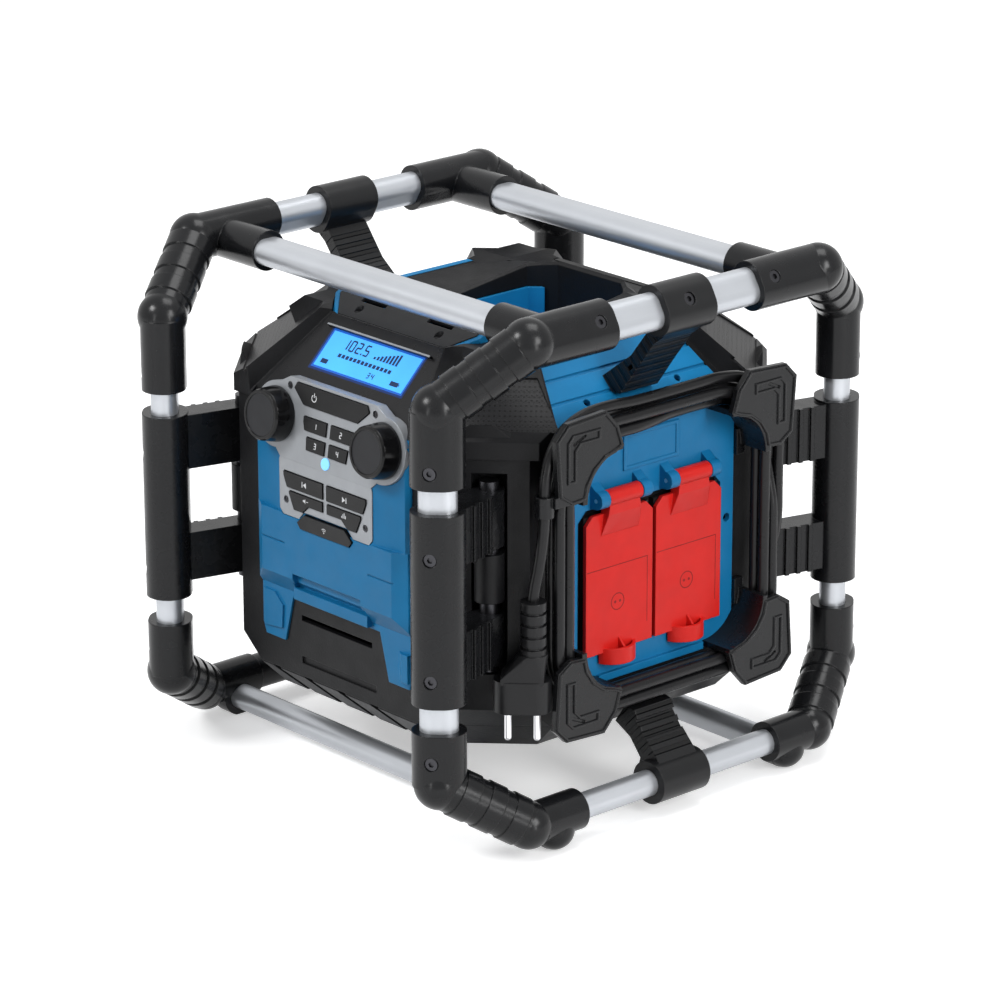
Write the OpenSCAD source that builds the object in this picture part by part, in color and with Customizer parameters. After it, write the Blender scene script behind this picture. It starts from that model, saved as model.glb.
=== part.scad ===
// Jobsite radio: an octagonal sound box hung in a cage of padded tubes, with a control panel in
// front, two covered sockets on the right and its mains lead wound on four brackets.
// Millimetres. +Z is up, the controls face -Y, the sockets face +X, the cage rests on Z = 0.

/* [Cage] */
// Distance between post centres, left to right
post_gap_x = 280; // [278:1:282]
// Distance between post centres, front to rear
post_gap_y = 362; // [360:1:366]
// Distance from the middle plane to the side tubes
side_tube_x = 169; // [168:0.5:170]
// Distance from the middle plane to the cross tubes, front and rear
cross_tube_y = 107; // [106:0.5:110]
// Long side of the oval tube
oval_l = 25.5; // [24:0.5:26]
// Short side of the oval tube
oval_w = 18; // [17:0.5:18.5]
// Diameter of the round tube at the bottom
round_d = 18; // [17:0.5:19]
// Wall of every tube
tube_wall = 1.5; // [1:0.1:2]
// Radius of the cage's padded stubs, on which the radio stands
stub_r = 14; // [13.5:0.1:14.5]
// Diameter of the rods that hold the sound box between the posts
rod_d = 13; // [12:0.5:14]

/* [Sound box] */
// Half width of the sound box
half_x = 143.5; // [142.5:0.5:144]
// Half depth of the sound box
half_y = 148; // [147:0.5:148.5]
// Wall thickness of the shells
shell = 4; // [3.5:0.5:4.5]
// Half width of the coloured panels
panel_half = 77; // [75:1:78]
// Height of the sound box's flat top above the middle plane
top_z = 134; // [133:0.5:135]

/* [Controls] */
// Diameter of a control knob at its base
knob_d = 38; // [36:1:39]
// Height of a control knob
knob_h = 14.6; // [12:0.2:16]
// Gap around each button
button_gap = 0.4; // [0.3:0.05:0.6]
// How far each button stands out of the panel
button_out = 1; // [0.8:0.1:1.4]

/* [Sockets and mains lead] */
// Diameter of a socket's recess
socket_d = 39; // [38.5:0.5:40]
// Depth of a socket's recess
socket_depth = 17.5; // [17:0.5:18]
// Diameter of the mains lead
lead_d = 8; // [7.5:0.1:8]
// Diameter of a plug pin
plug_pin_d = 4.8; // [4.6:0.1:4.8]

/* [Hidden] */
$fn = 64;

post_x = post_gap_x / 2;
post_y = post_gap_y / 2;
top_elbow = [post_x, -post_y, 125];
top_joint = [side_tube_x, -130, 164.2];
low_elbow = [post_x, -post_y, -129];
low_joint = [side_tube_x, -130, -163];
top_cross_z = 161.4;
low_cross_z = -172;
foot_flat = 0.6;
mid_z = stub_r - low_cross_z - foot_flat;
side_tilt = 30;
sleeve_l = 36;
sleeve_w = 30;
arm_l = 34;
arm_w = 27;
elbow_r = 17;
brace_r = 15.6;
pad_r = 16.6;
stub_end_x = 117;
low_stub_end_x = 157;
low_tube_end = 166;
low_side_end = 97.5;
top_sleeve_end = 65;
low_sleeve_end = 88;
post_top = 117;
post_bottom = -121;
rod_at = [125, -124];
arm_upper = [18, 56];
arm_lower = [-62, -28];
knuckle_z = [-20, 13];
room_z = [-72, 66];
knuckle_r = 10;
screw_head_r = 4.2;
screw_head_h = 2.4;
screw_shank_r = 1.6;
post_screw_z = [86.6, 29, -53.6, -110];
post_screw_seat = 12.4;
side_screw_seat = 10.5;
side_screw_y = [-78, 0];
clamp_half = 21.5;
strap_half = 17;

// The sound box: front and rear slopes hold |Y| + Z, side slopes |X| + Z constant.
slope_y = 231.5;
slope_x = 225;
chamfer_d = 176;
rim_d = 179;
rim_x = 150;
rim_y = 152;
rim_z = [76, 88];
facet_rise = 0.77;
bottom_z = -132;
split_z = -113;
edge_z = -114;
edge_in = 18;
dip_z = 129.7;
dip_half = 52;
ceiling_z = 126;
well = [48, 76];
well_cut = 14;
well_floor = 95;
liner_z = 118;
collar_r = 88;
bowl_y = 4;
slope_panel_top = 130;
band_z = [-40.5, 5];
port_door_half = 46;
port_door_z = [-30, 20];
battery_half = 60;
battery_z = [-80, 50];
door_pin_y = 3.2;
door_pin_drop = 2;
door_gap = 0.5;
tray_wall = 2.3;
latch_travel = 4;

// The control panel: its upper part leans back, its lower part is upright.
crease_z = 44.6;
face_y = -157.5;
lean = 8.8;
fascia_t = 8;
knob_x = 54.3;
knob_v = 26.5;
lobe_r = 22.5;
panel_y = 149.5;
panel_x = 145.5;
window_l = 89;
window_w = 27.5;
light_r = 4.1;
light_v = 4.6;

cover_y = 31.5;
cover_half = 30;
hinge_x = 151.5;
hinge_z = 38;
pin_r = 1.5;
pin_play = 0.05;

bracket_x = [168, 172];
winding_x = [151, 167];
winding_mid_z = -4;
arc_at = [50, 51];
arc_r = 31;
arc_wall = 4;
plug_at = [152, -119.5];
relief_at = [158.3, -115.7];
relief_r = 8.6;

// The lead from the end of the winding, over its top and down to the plug.
lead_route = [
    [157, 100, -24], [158.6, 104.5, -6], [159, 105.4, 12], [159, 105.4, 30], [159, 105.4, 47],
    [159, 101.2, 68.2], [159, 89.2, 86.2], [159, 71.2, 98.2], [159.3, 50, 102.4],
    [160, 30, 103], [160, 0, 102.8], [160, -30, 103], [160, -56, 104.5],
    [160, -76, 102.5], [160.5, -93, 95], [161.5, -104, 82], [162.3, -109, 67],
    [162.5, -110, 50], [162.5, -110.5, 38], [162, -111.5, 24], [160.8, -113.3, 8],
    [159.3, -115, -4], [158.3, -115.7, -14], [158.3, -115.7, -20]
];

// Height range of the opening for a door and the hinge below it.
function door_hole(z) = [z[0] - 8 - door_gap, z[1] + door_gap];
function half_at(z) = 80 - 0.5 * (z - 88);
function both_sides(pts) =
    concat(pts, [for (i = [len(pts) - 1 : -1 : 0]) [-pts[i][0], pts[i][1]]]);

// ---- helpers -----------------------------------------------------------------------------

module raised() { translate([0, 0, mid_z]) children(); }

// Lays children made for the front right corner into corner (sx, sy).
module corner(sx, sy) {
    mirror([sx < 0 ? 1 : 0, 0, 0]) mirror([0, sy > 0 ? 1 : 0, 0]) children();
}

module four_corners() {
    for (sx = [-1, 1], sy = [-1, 1]) corner(sx, sy) children();
}

// Slot outline, l long along X and w wide.
module slot(l, w) {
    square([l - w, w], center = true);
    for (s = [-1, 1]) translate([s * (l - w) / 2, 0]) circle(d = w);
}

module rod(a, b, r) {
    v = b - a;
    translate(a) rotate([0, acos(v[2] / norm(v)), atan2(v[1], v[0])]) cylinder(r = r, h = norm(v));
}

// Extrudes an X-Z outline along Y, and a Y-Z outline along X.
module along_y(depth) { rotate([90, 0, 0]) linear_extrude(depth, center = true) children(); }
module along_x(depth) { rotate([90, 0, 90]) linear_extrude(depth, center = true) children(); }

module slab(x, y, z) {
    translate([x[0], y[0], z[0]]) cube([x[1] - x[0], y[1] - y[0], z[1] - z[0]]);
}

// Outline of a post's padding or tube, its flat towards the corner.
module at_post(z) { translate([post_x, -post_y, z]) rotate(45) children(); }

// Turns an X-Y outline into one that runs along Y around the side tube.
module around_side(from_y, to_y, z) {
    translate([side_tube_x, to_y, z]) rotate([90, 0, 0])
        linear_extrude(to_y - from_y) rotate(90 + side_tilt) children();
}

module tube_profile(grow = 0) { slot(oval_l + grow, oval_w + grow); }

// ---- cage tubes --------------------------------------------------------------------------

module hollow_slot() {
    difference() {
        tube_profile();
        tube_profile(-2 * tube_wall);
    }
}

module post_tubes() {
    color("silver") raised() difference() {
        four_corners() at_post(post_bottom) linear_extrude(post_top - post_bottom) hollow_slot();
        four_corners() post_screw_holes();
    }
}

module top_side_tubes() {
    color("silver") raised() difference() {
        for (s = [0, 1]) mirror([s, 0, 0]) around_side(-124, 124, top_joint[2]) hollow_slot();
        four_corners() side_screw_hole(0);
        for (s = [0, 1]) mirror([s, 0, 0]) side_screw_hole(1);
    }
}

module top_cross_tubes() {
    color("silver") raised()
        for (s = [-1, 1]) translate([0, s * cross_tube_y, top_cross_z])
            rotate([90, 0, 90]) linear_extrude(2 * 150, center = true) hollow_slot();
}

module round_tube(a, b) {
    difference() {
        rod(a, b, round_d / 2);
        rod(a - (b - a), b + (b - a), round_d / 2 - tube_wall);
    }
}

module bottom_tubes() {
    color("silver") raised() {
        for (s = [-1, 1]) {
            y = s * cross_tube_y;
            round_tube([-low_tube_end, y, low_cross_z], [low_tube_end, y, low_cross_z]);
            x = s * side_tube_x;
            round_tube([x, -low_side_end, low_joint[2]], [x, low_side_end, low_joint[2]]);
        }
    }
}

// ---- screws of the cage ------------------------------------------------------------------

// Screw axis on the post of the front right corner, at height z, radius r, reaching in to depth.
module post_screw(z, r, out, inner) {
    translate([post_x, -post_y, z]) rotate([90, 0, 28]) translate([0, 0, inner])
        cylinder(r = r, h = out - inner);
}

// Children lie on the axis of side screw i, at the tube's middle: 0 in the fitting, 1 in the clamp.
module at_side_screw(i) {
    translate([side_tube_x, side_screw_y[i], top_joint[2]]) rotate([0, 90 - side_tilt, 0])
        children();
}

module side_screw_hole(i) {
    at_side_screw(i) translate([0, 0, 4]) cylinder(r = screw_shank_r + pin_play, h = 26);
}

module post_screw_holes() {
    for (z = post_screw_z) post_screw(z, screw_shank_r + pin_play, 30, 4);
}

module post_screw_pockets() {
    post_screw_holes();
    for (z = post_screw_z) post_screw(z, screw_head_r + 0.4, 30, post_screw_seat);
}

module side_screw_pocket(i) {
    side_screw_hole(i);
    at_side_screw(i) translate([0, 0, side_screw_seat]) cylinder(r = screw_head_r + 0.4, h = 20);
}

module screw_with_socket(seat) {
    difference() {
        union() {
            translate([0, 0, 5]) cylinder(r = screw_shank_r, h = seat - 4);
            translate([0, 0, seat]) cylinder(r = screw_head_r, h = screw_head_h);
        }
        translate([0, 0, seat + 0.8]) cylinder(r = 2.1, h = screw_head_h, $fn = 6);
    }
}

module cage_screws() {
    color("dimgray") raised() {
        four_corners() {
            for (z = post_screw_z) translate([post_x, -post_y, z]) rotate([90, 0, 28])
                screw_with_socket(post_screw_seat);
            at_side_screw(0) screw_with_socket(side_screw_seat);
        }
        for (s = [0, 1]) mirror([s, 0, 0]) at_side_screw(1) screw_with_socket(side_screw_seat);
    }
}

// ---- corner fittings, sleeves and clamps ---------------------------------------------------

module brace_pads(a, b) {
    v = b - a;
    for (f = [0.18, 0.46, 0.74]) rod(a + f * v, a + (f + 0.17) * v, pad_r);
}

module top_corner() {
    difference() {
        union() {
            at_post(75) linear_extrude(top_elbow[2] - 75) slot(sleeve_l, sleeve_w);
            translate(top_elbow) sphere(r = elbow_r);
            rod(top_elbow, top_joint, brace_r);
            brace_pads(top_elbow, top_joint);
            translate(top_joint) sphere(r = elbow_r);
            around_side(top_joint[1], -top_sleeve_end, top_joint[2]) slot(arm_l, arm_w);
            rod([stub_end_x, -cross_tube_y, top_cross_z], [side_tube_x, -cross_tube_y, top_cross_z],
                stub_r);
        }
        at_post(70) linear_extrude(post_top - 70) tube_profile();
        around_side(-124, 0, top_joint[2]) tube_profile();
        translate([100, -cross_tube_y, top_cross_z]) rotate([90, 0, 90])
            linear_extrude(50) tube_profile();
        post_screw_pockets();
        side_screw_pocket(0);
    }
}

module bottom_corner() {
    difference() {
        union() {
            at_post(low_elbow[2]) linear_extrude(-91 - low_elbow[2]) slot(sleeve_l, sleeve_w);
            translate(low_elbow) sphere(r = elbow_r);
            rod(low_elbow, low_joint, brace_r);
            brace_pads(low_elbow, low_joint);
            translate(low_joint) sphere(r = brace_r + 0.4);
            rod(low_joint, [side_tube_x, -low_sleeve_end, low_joint[2]], stub_r);
            rod([low_stub_end_x, -cross_tube_y, low_cross_z],
                [side_tube_x, -cross_tube_y, low_cross_z], stub_r);
            translate([side_tube_x, -cross_tube_y, low_cross_z]) sphere(r = stub_r - 0.2);
        }
        at_post(post_bottom) linear_extrude(60) tube_profile();
        rod([side_tube_x, -low_side_end, low_joint[2]], [side_tube_x, 0, low_joint[2]],
            round_d / 2);
        rod([100, -cross_tube_y, low_cross_z], [low_tube_end, -cross_tube_y, low_cross_z],
            round_d / 2);
        slab([100, 200], [-150, -90], [-mid_z - 10, -mid_z]);
        post_screw_pockets();
    }
}

module corner_top_front_left() { color("#1d1e20") raised() corner(-1, -1) top_corner(); }
module corner_top_front_right() { color("#1d1e20") raised() corner(1, -1) top_corner(); }
module corner_top_rear_left() { color("#1d1e20") raised() corner(-1, 1) top_corner(); }
module corner_top_rear_right() { color("#1d1e20") raised() corner(1, 1) top_corner(); }
module corner_bottom_front_left() { color("#1d1e20") raised() corner(-1, -1) bottom_corner(); }
module corner_bottom_front_right() { color("#1d1e20") raised() corner(1, -1) bottom_corner(); }
module corner_bottom_rear_left() { color("#1d1e20") raised() corner(-1, 1) bottom_corner(); }
module corner_bottom_rear_right() { color("#1d1e20") raised() corner(1, 1) bottom_corner(); }

// One arm from the post's padding to the mounting rod, ribbed on its outer side.
module sleeve_arm(z) {
    start = [post_x, -post_y];
    v = rod_at - start;
    turn = atan2(v[1], v[0]);
    reach = norm(v);
    translate([start[0], start[1], z[0]]) linear_extrude(z[1] - z[0]) {
        rotate(turn) {
            translate([0, -knuckle_r]) square([reach, 2 * knuckle_r]);
            translate([reach, 0]) circle(r = knuckle_r);
            for (x = [24 : 9 : 42]) translate([x, -knuckle_r - 2]) square([3, 4]);
        }
    }
}

module post_sleeve() {
    difference() {
        union() {
            at_post(-72) linear_extrude(130) slot(sleeve_l, sleeve_w + 1);
            sleeve_arm(arm_upper);
            sleeve_arm(arm_lower);
        }
        at_post(-80) linear_extrude(150) tube_profile();
        translate([rod_at[0], rod_at[1], -80]) cylinder(d = rod_d, h = 150);
        post_screw_pockets();
    }
}

module post_sleeve_front_left() { color("#222326") raised() corner(-1, -1) post_sleeve(); }
module post_sleeve_front_right() { color("#222326") raised() corner(1, -1) post_sleeve(); }
module post_sleeve_rear_left() { color("#222326") raised() corner(-1, 1) post_sleeve(); }
module post_sleeve_rear_right() { color("#222326") raised() corner(1, 1) post_sleeve(); }

module mount_rods() {
    color("#2b2c2f") raised()
        four_corners() translate([rod_at[0], rod_at[1], -68]) cylinder(d = rod_d, h = 130);
}

// Strap outline in X-Z from the clamp down to the side slope, with grip slots on its upper side.
module top_strap_outline() {
    difference() {
        polygon([[176, 158], [163, 152], [144, 128], [slope_x - 108, 108], [slope_x - 99, 99],
                 [134, 99.5], [150, 121], [166, 141], [181, 152]]);
        for (i = [0 : 3]) translate([146 - 5.5 * i, 121 + 8.5 * i - 12])
            translate([3, 2]) rotate(38) square([5, 3], center = true);
    }
}

module tube_clamps_top() {
    color("#1d1e20") raised() for (s = [0, 1]) mirror([s, 0, 0]) difference() {
        union() {
            around_side(-clamp_half, clamp_half, top_joint[2]) slot(arm_l + 1, arm_w + 1);
            along_y(2 * strap_half) top_strap_outline();
        }
        around_side(-40, 40, top_joint[2]) tube_profile();
        side_screw_pocket(1);
    }
}

module bottom_strap_outline() {
    difference() {
        polygon([[153, -162], [156, -150], [146, -138], [half_x - 12, bottom_z + 1.5],
                 [half_x - 2, edge_z - 2.2], [150, -118], [158, -132], [172, -146], [182, -158]]);
        for (i = [0 : 1]) translate([154 + 5.5 * i, -126 - 7 * i])
            rotate(-52) square([5, 3], center = true);
    }
}

module tube_clamps_bottom() {
    color("#1d1e20") raised() {
        for (s = [0, 1]) mirror([s, 0, 0]) difference() {
            union() {
                rod([side_tube_x, -clamp_half, low_joint[2]], [side_tube_x, clamp_half, low_joint[2]],
                    15);
                along_y(2 * strap_half) bottom_strap_outline();
                if (s == 1) rod([side_tube_x, -low_sleeve_end + 1, low_joint[2]],
                                [side_tube_x, -clamp_half, low_joint[2]], 12.3);
            }
            rod([side_tube_x, -120, low_joint[2]], [side_tube_x, 120, low_joint[2]], round_d / 2);
        }
    }
}

// ---- sound box -----------------------------------------------------------------------------

// Octagonal block whose top edges follow the slopes; inset shrinks it evenly for the hollow.
module box_block(inset) {
    drop = inset * (sqrt(2) - 1);
    low = bottom_z + inset;
    side = half_x - inset;
    front = half_y - inset;
    intersection() {
        along_y(400) polygon(both_sides([
            [half_x - edge_in + drop - inset, low], [side, edge_z + drop],
            [side, slope_x - half_x - drop], [slope_x - top_z - drop, top_z - inset]]));
        along_x(400) polygon(both_sides([
            [half_y - edge_in + drop - inset, low], [front, edge_z + drop],
            [front, slope_y - half_y - drop], [slope_y - top_z - drop, top_z - inset]]));
        for_diagonals() polygon(both_sides([
            [chamfer_d - 29 - inset, low], [chamfer_d - inset, -97 + drop],
            [chamfer_d - inset, top_z - inset]]));
    }
}

// Both diagonal prisms of one outline in distance-from-centre and height.
module for_diagonals() {
    intersection() {
        rotate(45) along_y(440) children();
        rotate(-45) along_y(440) children();
    }
}

module facet_outline(inset) {
    polygon(both_sides([
        [rim_d - inset, bottom_z - 10], [rim_d - inset, rim_z[1] - inset],
        [rim_d - (top_z - rim_z[1]) / facet_rise - inset / 2, top_z - inset]]));
}

// Speaker housings that stand proud at the four corners.
module corner_blocks() {
    intersection() {
        slab([-rim_x, rim_x], [-rim_y, rim_y], [rim_z[0], top_z]);
        for_diagonals() facet_outline(0);
    }
}

// Wedge above one slope, between side walls that lean outward.
module slope_cutter(sum) {
    low = 70;
    high = 142;
    rise = 60;
    function foot(z, s) = [s * half_at(z), z - sum, z];
    lift = [0, -rise / sqrt(2), rise / sqrt(2)];
    spread = 0.56 * rise;
    base = [foot(low, -1), foot(low, 1), foot(high, 1), foot(high, -1)];
    top = [for (i = [0 : 3]) base[i] + lift + [(i == 0 || i == 3 ? -1 : 1) * spread, 0, 0]];
    polyhedron(concat(base, top), [[0, 1, 2, 3], [7, 6, 5, 4], [0, 4, 5, 1], [1, 5, 6, 2],
                                   [2, 6, 7, 3], [3, 7, 4, 0]]);
}

module body_outer() {
    difference() {
        union() {
            box_block(0);
            corner_blocks();
        }
        for (a = [0, 180]) rotate(a) {
            slope_cutter(slope_y);
            slab([-82, 82], [-170, -half_y], [70, 92]);
        }
        for (a = [90, 270]) rotate(a) {
            slope_cutter(slope_x);
            slab([-82, 82], [-170, -half_x], [70, 92]);
        }
    }
}

module hollow() {
    intersection() {
        box_block(shell);
        for_diagonals() facet_outline(shell + 2);
        slab([-200, 200], [-200, 200], [-200, ceiling_z]);
    }
}

// Lowers the flat top between the speaker housings.
module dips() {
    for (a = [0, 90]) rotate(a) along_y(400)
        polygon(both_sides([[dip_half, dip_z], [dip_half + 50, dip_z + 15.3]]));
}

// Outline of a panel seen square on: upright below, tapering up the slope.
module shield(top, bottom = -91, half = panel_half) {
    polygon(both_sides([[half - 3, bottom], [half, bottom + 8], [half, 84],
                        [half_at(top) - 3, top]]));
}

// Opening for a panel, just as deep as the panel's own top edge.
module panel_hole(sum) {
    inner = sum - slope_panel_top - shell * sqrt(2) - 0.15;
    translate([0, -inner - 60, 0]) along_y(120) shield(slope_panel_top);
}

// The tongue of the housing that rises into the front panel and holds the bass vents.
module vent_tongue() {
    translate([0, -half_y, 0]) along_y(30)
        polygon(both_sides([[54, -92], [45, -58]]));
}

// Grooves for the padding arms and holes for the rods at each corner.
module rod_room() {
    four_corners() {
        translate([rod_at[0], rod_at[1], room_z[0]])
            linear_extrude(room_z[1] - room_z[0]) {
                circle(r = knuckle_r + 1.6);
                rotate(-45) translate([0, -knuckle_r - 1.6]) square([60, 2 * knuckle_r + 3.2]);
            }
    }
}

module rod_knuckles() {
    four_corners() difference() {
        translate([rod_at[0], rod_at[1], knuckle_z[0]])
            linear_extrude(knuckle_z[1] - knuckle_z[0]) {
                circle(r = knuckle_r);
                rotate(-45) translate([-18, 1 - knuckle_r]) square([18, 2 * knuckle_r - 2]);
            }
        translate([rod_at[0], rod_at[1], -80]) cylinder(d = rod_d, h = 150);
    }
}

module front_vent_slots() {
    translate([0, -half_y, -71]) slab([-38, 35], [-8, 8], [-2, 2]);
    translate([0, -half_y, -101]) slab([-38, 39], [-8, 1.6], [-2.5, 2.5]);
}

module main_housing() {
    color("#26272a") raised() {
        difference() {
            body_outer();
            difference() {
                hollow();
                rod_walls();
            }
            slab([-200, 200], [-200, 200], [-140, split_z]);
            difference() {
                panel_hole(slope_y);
                vent_tongue();
            }
            rotate(90) panel_hole(slope_x);
            rotate(180) panel_hole(slope_y);
            rotate(270) panel_hole(slope_x);
            rod_room();
            translate([0, bowl_y, 120]) cylinder(r = collar_r, h = 40);
            dips();
            bridge_room();
            front_vent_slots();
            grille_pockets();
        }
        rod_knuckles();
    }
}

// Corner walls inside the box that close it behind the rod grooves.
module rod_walls() {
    four_corners() translate([rod_at[0], rod_at[1], room_z[0] - shell])
        cylinder(r = knuckle_r + 5.5, h = room_z[1] - room_z[0] + 2 * shell);
}

module base_housing() {
    color("#222326") raised() difference() {
        intersection() {
            body_outer();
            slab([-200, 200], [-200, 200], [-140, split_z]);
        }
        difference() {
            box_block(shell);
            for (x = [-90, 90], y = [-90, 90]) translate([x, y, bottom_z]) cylinder(r = 6, h = 30);
        }
        for (a = [0, 180], i = [-2 : 1]) rotate(a) base_notch(10 + 34 * i);
        front_vent_slots();
    }
}

// Slanted notch in the lower slope of the base.
module base_notch(x) {
    translate([x, -139, -123]) rotate([-45, 0, 0]) rotate([0, 0, -30])
        cube([7, 44, 6], center = true);
}

// Shell that follows the upright face and the slope; reach is the upright face's distance.
module wrap_panel(reach, sum, top) {
    intersection() {
        translate([0, -reach + 20, 0]) along_y(140) shield(top);
        along_x(2 * panel_half + 10) polygon([
            [-reach, -100], [-reach, sum - reach], [-(sum - slope_panel_top), slope_panel_top],
            [-(sum - slope_panel_top) + shell * sqrt(2), slope_panel_top],
            [-reach + shell, sum - reach - shell * (sqrt(2) - 1)], [-reach + shell, -100]]);
    }
}

module front_panel() {
    color("#1f74ad") raised() difference() {
        union() {
            intersection() {
                wrap_panel(panel_y, slope_y + 1, 86);
                slab([-90, 90], [-200, 0], [-100, 82]);
            }
            flank_plates();
            brand_band();
            lower_cheeks();
        }
        vent_tongue();
        fascia_block(0.2);
        upper_face() {
            for (s = [-1, 1]) translate([s * knob_x, knob_v, -20]) cylinder(r = 4, h = 20);
            translate([0, light_v, -20]) cylinder(r = light_r + 1.6, h = 20);
        }
    }
}

// Raised plates beside the controls, leaning back with them.
module flank_plates() {
    intersection() {
        translate([0, 0, band_z[1] - 1]) linear_extrude(73)
            polygon(both_sides([[46, -156.9], [75.5, -153], [panel_half, -panel_y],
                                [panel_half, -panel_y + shell]]));
        along_x(200) polygon([[-panel_y + shell, 0], [-157, 0], [-157, crease_z], [-151.8, 78],
                              [-panel_y + shell, 78]]);
    }
}

// Band under the controls: bevelled below, with two slots and a ledge in its middle.
module brand_band() {
    difference() {
        intersection() {
            translate([0, 0, -60]) linear_extrude(60 + band_z[1])
                polygon(both_sides([[panel_half, -panel_y + shell], [panel_half, -152],
                                    [67, -158]]));
            along_x(200) polygon([[-panel_y + shell, band_z[1]], [-158, band_z[1]],
                                  [-158, band_z[0]], [-150, -53], [-panel_y + shell, -53]]);
        }
        slab([-35, 35], [-170, -153], [-60, -36.5]);
        slab([-37.5, 37.5], [-170, -147.5], [-60, -44]);
        for (s = [-1, 1]) translate([s * 56, -158, -16.5])
            cube([26, 1.6, 1], center = true);
    }
    slab([-38, 38], [-154.5, -panel_y + shell], [-56, -48]);
}

// Raised cheeks of the front panel on both sides of the bass vent.
module lower_cheeks() {
    translate([0, -panel_y + 1, 0]) along_y(5)
        polygon([[-74, -58], [-63, -58], [-54.5, -66], [-55.5, -82.5], [-74, -84.5]]);
    translate([0, 0, -86]) linear_extrude(20)
        polygon([[64.5, -panel_y + shell], [64.5, -panel_y], [69.5, -152.6], [76, -152.6],
                 [76, -panel_y + shell]]);
}

module socket_places() {
    for (s = [-1, 1]) translate([0, s * cover_y, -22]) children();
}

module hinge_ears(sy) {
    for (side = [-1, 1]) translate([0, sy * cover_y + side * 19, 0]) rotate([90, 0, 0])
        linear_extrude(8, center = true) {
            translate([hinge_x, hinge_z]) circle(r = 6);
            polygon([[panel_x - 2, hinge_z - 7], [hinge_x, hinge_z - 6], [hinge_x, hinge_z + 6],
                     [panel_x - 2, hinge_z + 12]]);
        }
}

module right_panel() {
    color("#1f74ad") raised() difference() {
        union() {
            rotate(90) wrap_panel(panel_x, slope_x, slope_panel_top);
            for (sy = [-1, 1]) hinge_ears(sy);
            slab([panel_x - 2, panel_x + 1.2], [-25, 25], [51, 76]);
            slab([panel_x - 2, panel_x + 3], [-48, 48], [-91, -86]);
        }
        translate([0, 0, -22]) rotate([90, 0, 90]) translate([0, 0, 130]) linear_extrude(30)
            recess_outline(65);
        slab([panel_x + 0.5, 160], [-22.4, 22.4], [53.5, 73.5]);
        for (s = [-1, 1]) {
            translate([130, s * 71, -3.4]) rotate([0, 90, 0]) cylinder(r = 3, h = 30);
            translate([slope_x - 97, s * 41, 97]) rotate([0, 45, 0])
                cylinder(r = 2.6, h = 16, center = true);
        }
        for (z = [100, 112]) translate([slope_x - z, 0, z]) rotate([0, 45, 0])
            cube([2.4, 200, 2.4], center = true);
        hinge_pin_bores();
    }
}

module hinge_pin_bores() {
    for (s = [-1, 1]) translate([hinge_x, s * cover_y - 23.2, hinge_z])
        rotate([-90, 0, 0]) cylinder(r = pin_r, h = 46.4);
}

// Opening around both covers, of half width w.
module recess_outline(w) {
    polygon(both_sides([[w, -49.2], [w, w - 20], [w - 7, w - 12.6]]));
}

// Plain panel of the left and rear sides with an opening for its door.
module door_panel(reach, sum, half, z) {
    difference() {
        wrap_panel(reach, sum, slope_panel_top);
        translate([0, -reach, 0]) slab([-half, half], [-20, 20], z);
        for (zz = [100, 112]) translate([0, zz - sum, zz]) rotate([45, 0, 0])
            cube([200, 2.4, 2.4], center = true);
    }
}

module left_panel() {
    color("#1f74ad") raised() rotate(-90) {
        door_panel(panel_x, slope_x, port_door_half + door_gap, door_hole(port_door_z));
        door_tray(panel_x, port_door_half + door_gap, door_hole(port_door_z), 18);
        door_ears(panel_x, port_door_half, port_door_z[0] - door_pin_drop);
    }
}

module rear_panel() {
    color("#26272a") raised() rotate(180) {
        door_panel(panel_y, slope_y, battery_half + door_gap, door_hole(battery_z));
        door_tray(panel_y, battery_half + door_gap, door_hole(battery_z), 60);
        door_ears(panel_y, battery_half, battery_z[0] - door_pin_drop);
    }
}

// Recess behind a door: four walls and a floor set into the panel's opening.
module door_tray(reach, half, z, depth) {
    difference() {
        slab([-half - tray_wall, half + tray_wall], [-reach + shell, -reach + depth],
             [z[0] - tray_wall, z[1] + tray_wall]);
        slab([-half, half], [-reach, -reach + depth - tray_wall], z);
    }
}

module door_ears(reach, half, z) {
    for (s = [-1, 1]) difference() {
        translate([s * (half - 3), 0, 0]) along_x(6.5) translate([-reach + door_pin_y, z])
            union() {
                circle(r = 3.2);
                polygon([[0, -3.2], [6, -3.2], [6, 3.2], [0, 3.2]]);
            }
        translate([s * (half - 10), -reach + door_pin_y, z]) rotate([0, 90, 0])
            cylinder(r = pin_r, h = 20, center = true);
    }
    for (s = [-1, 1]) translate([s * (half - 3), 0, 0])
        slab([-3.5, 3.5], [-reach + 6, -reach + 8.8], [z - 7, z + 3]);
}

module door_leaf(reach, half, z, pin_z) {
    difference() {
        union() {
            slab([-half, half], [-reach, -reach + 3], [pin_z + 4.2, z[1]]);
            for (s = [-1, 1]) translate([s * (half - 14), 0, 0]) along_x(14)
                translate([-reach + door_pin_y, pin_z]) union() {
                    circle(r = 3.2);
                    polygon([[-3.1, 0], [-0.4, 0], [-0.4, 6], [-3.1, 6]]);
                }
        }
        translate([0, -reach + door_pin_y, pin_z]) rotate([0, 90, 0])
            cylinder(r = pin_r + pin_play, h = 300, center = true);
    }
}

module battery_door() {
    color("#1d1e20") raised() rotate(180) difference() {
        union() {
            door_leaf(panel_y, battery_half, battery_z, battery_z[0] - door_pin_drop);
            for (x = [-36 : 18 : 36])
                slab([x - 2, x + 2], [-panel_y - 1.2, -panel_y + 1], [-64, 18]);
        }
        slab([-16.4, 16.4], [-panel_y - 3, -panel_y + 4], [30 - latch_travel - 0.4, 42.4]);
    }
}

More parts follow.
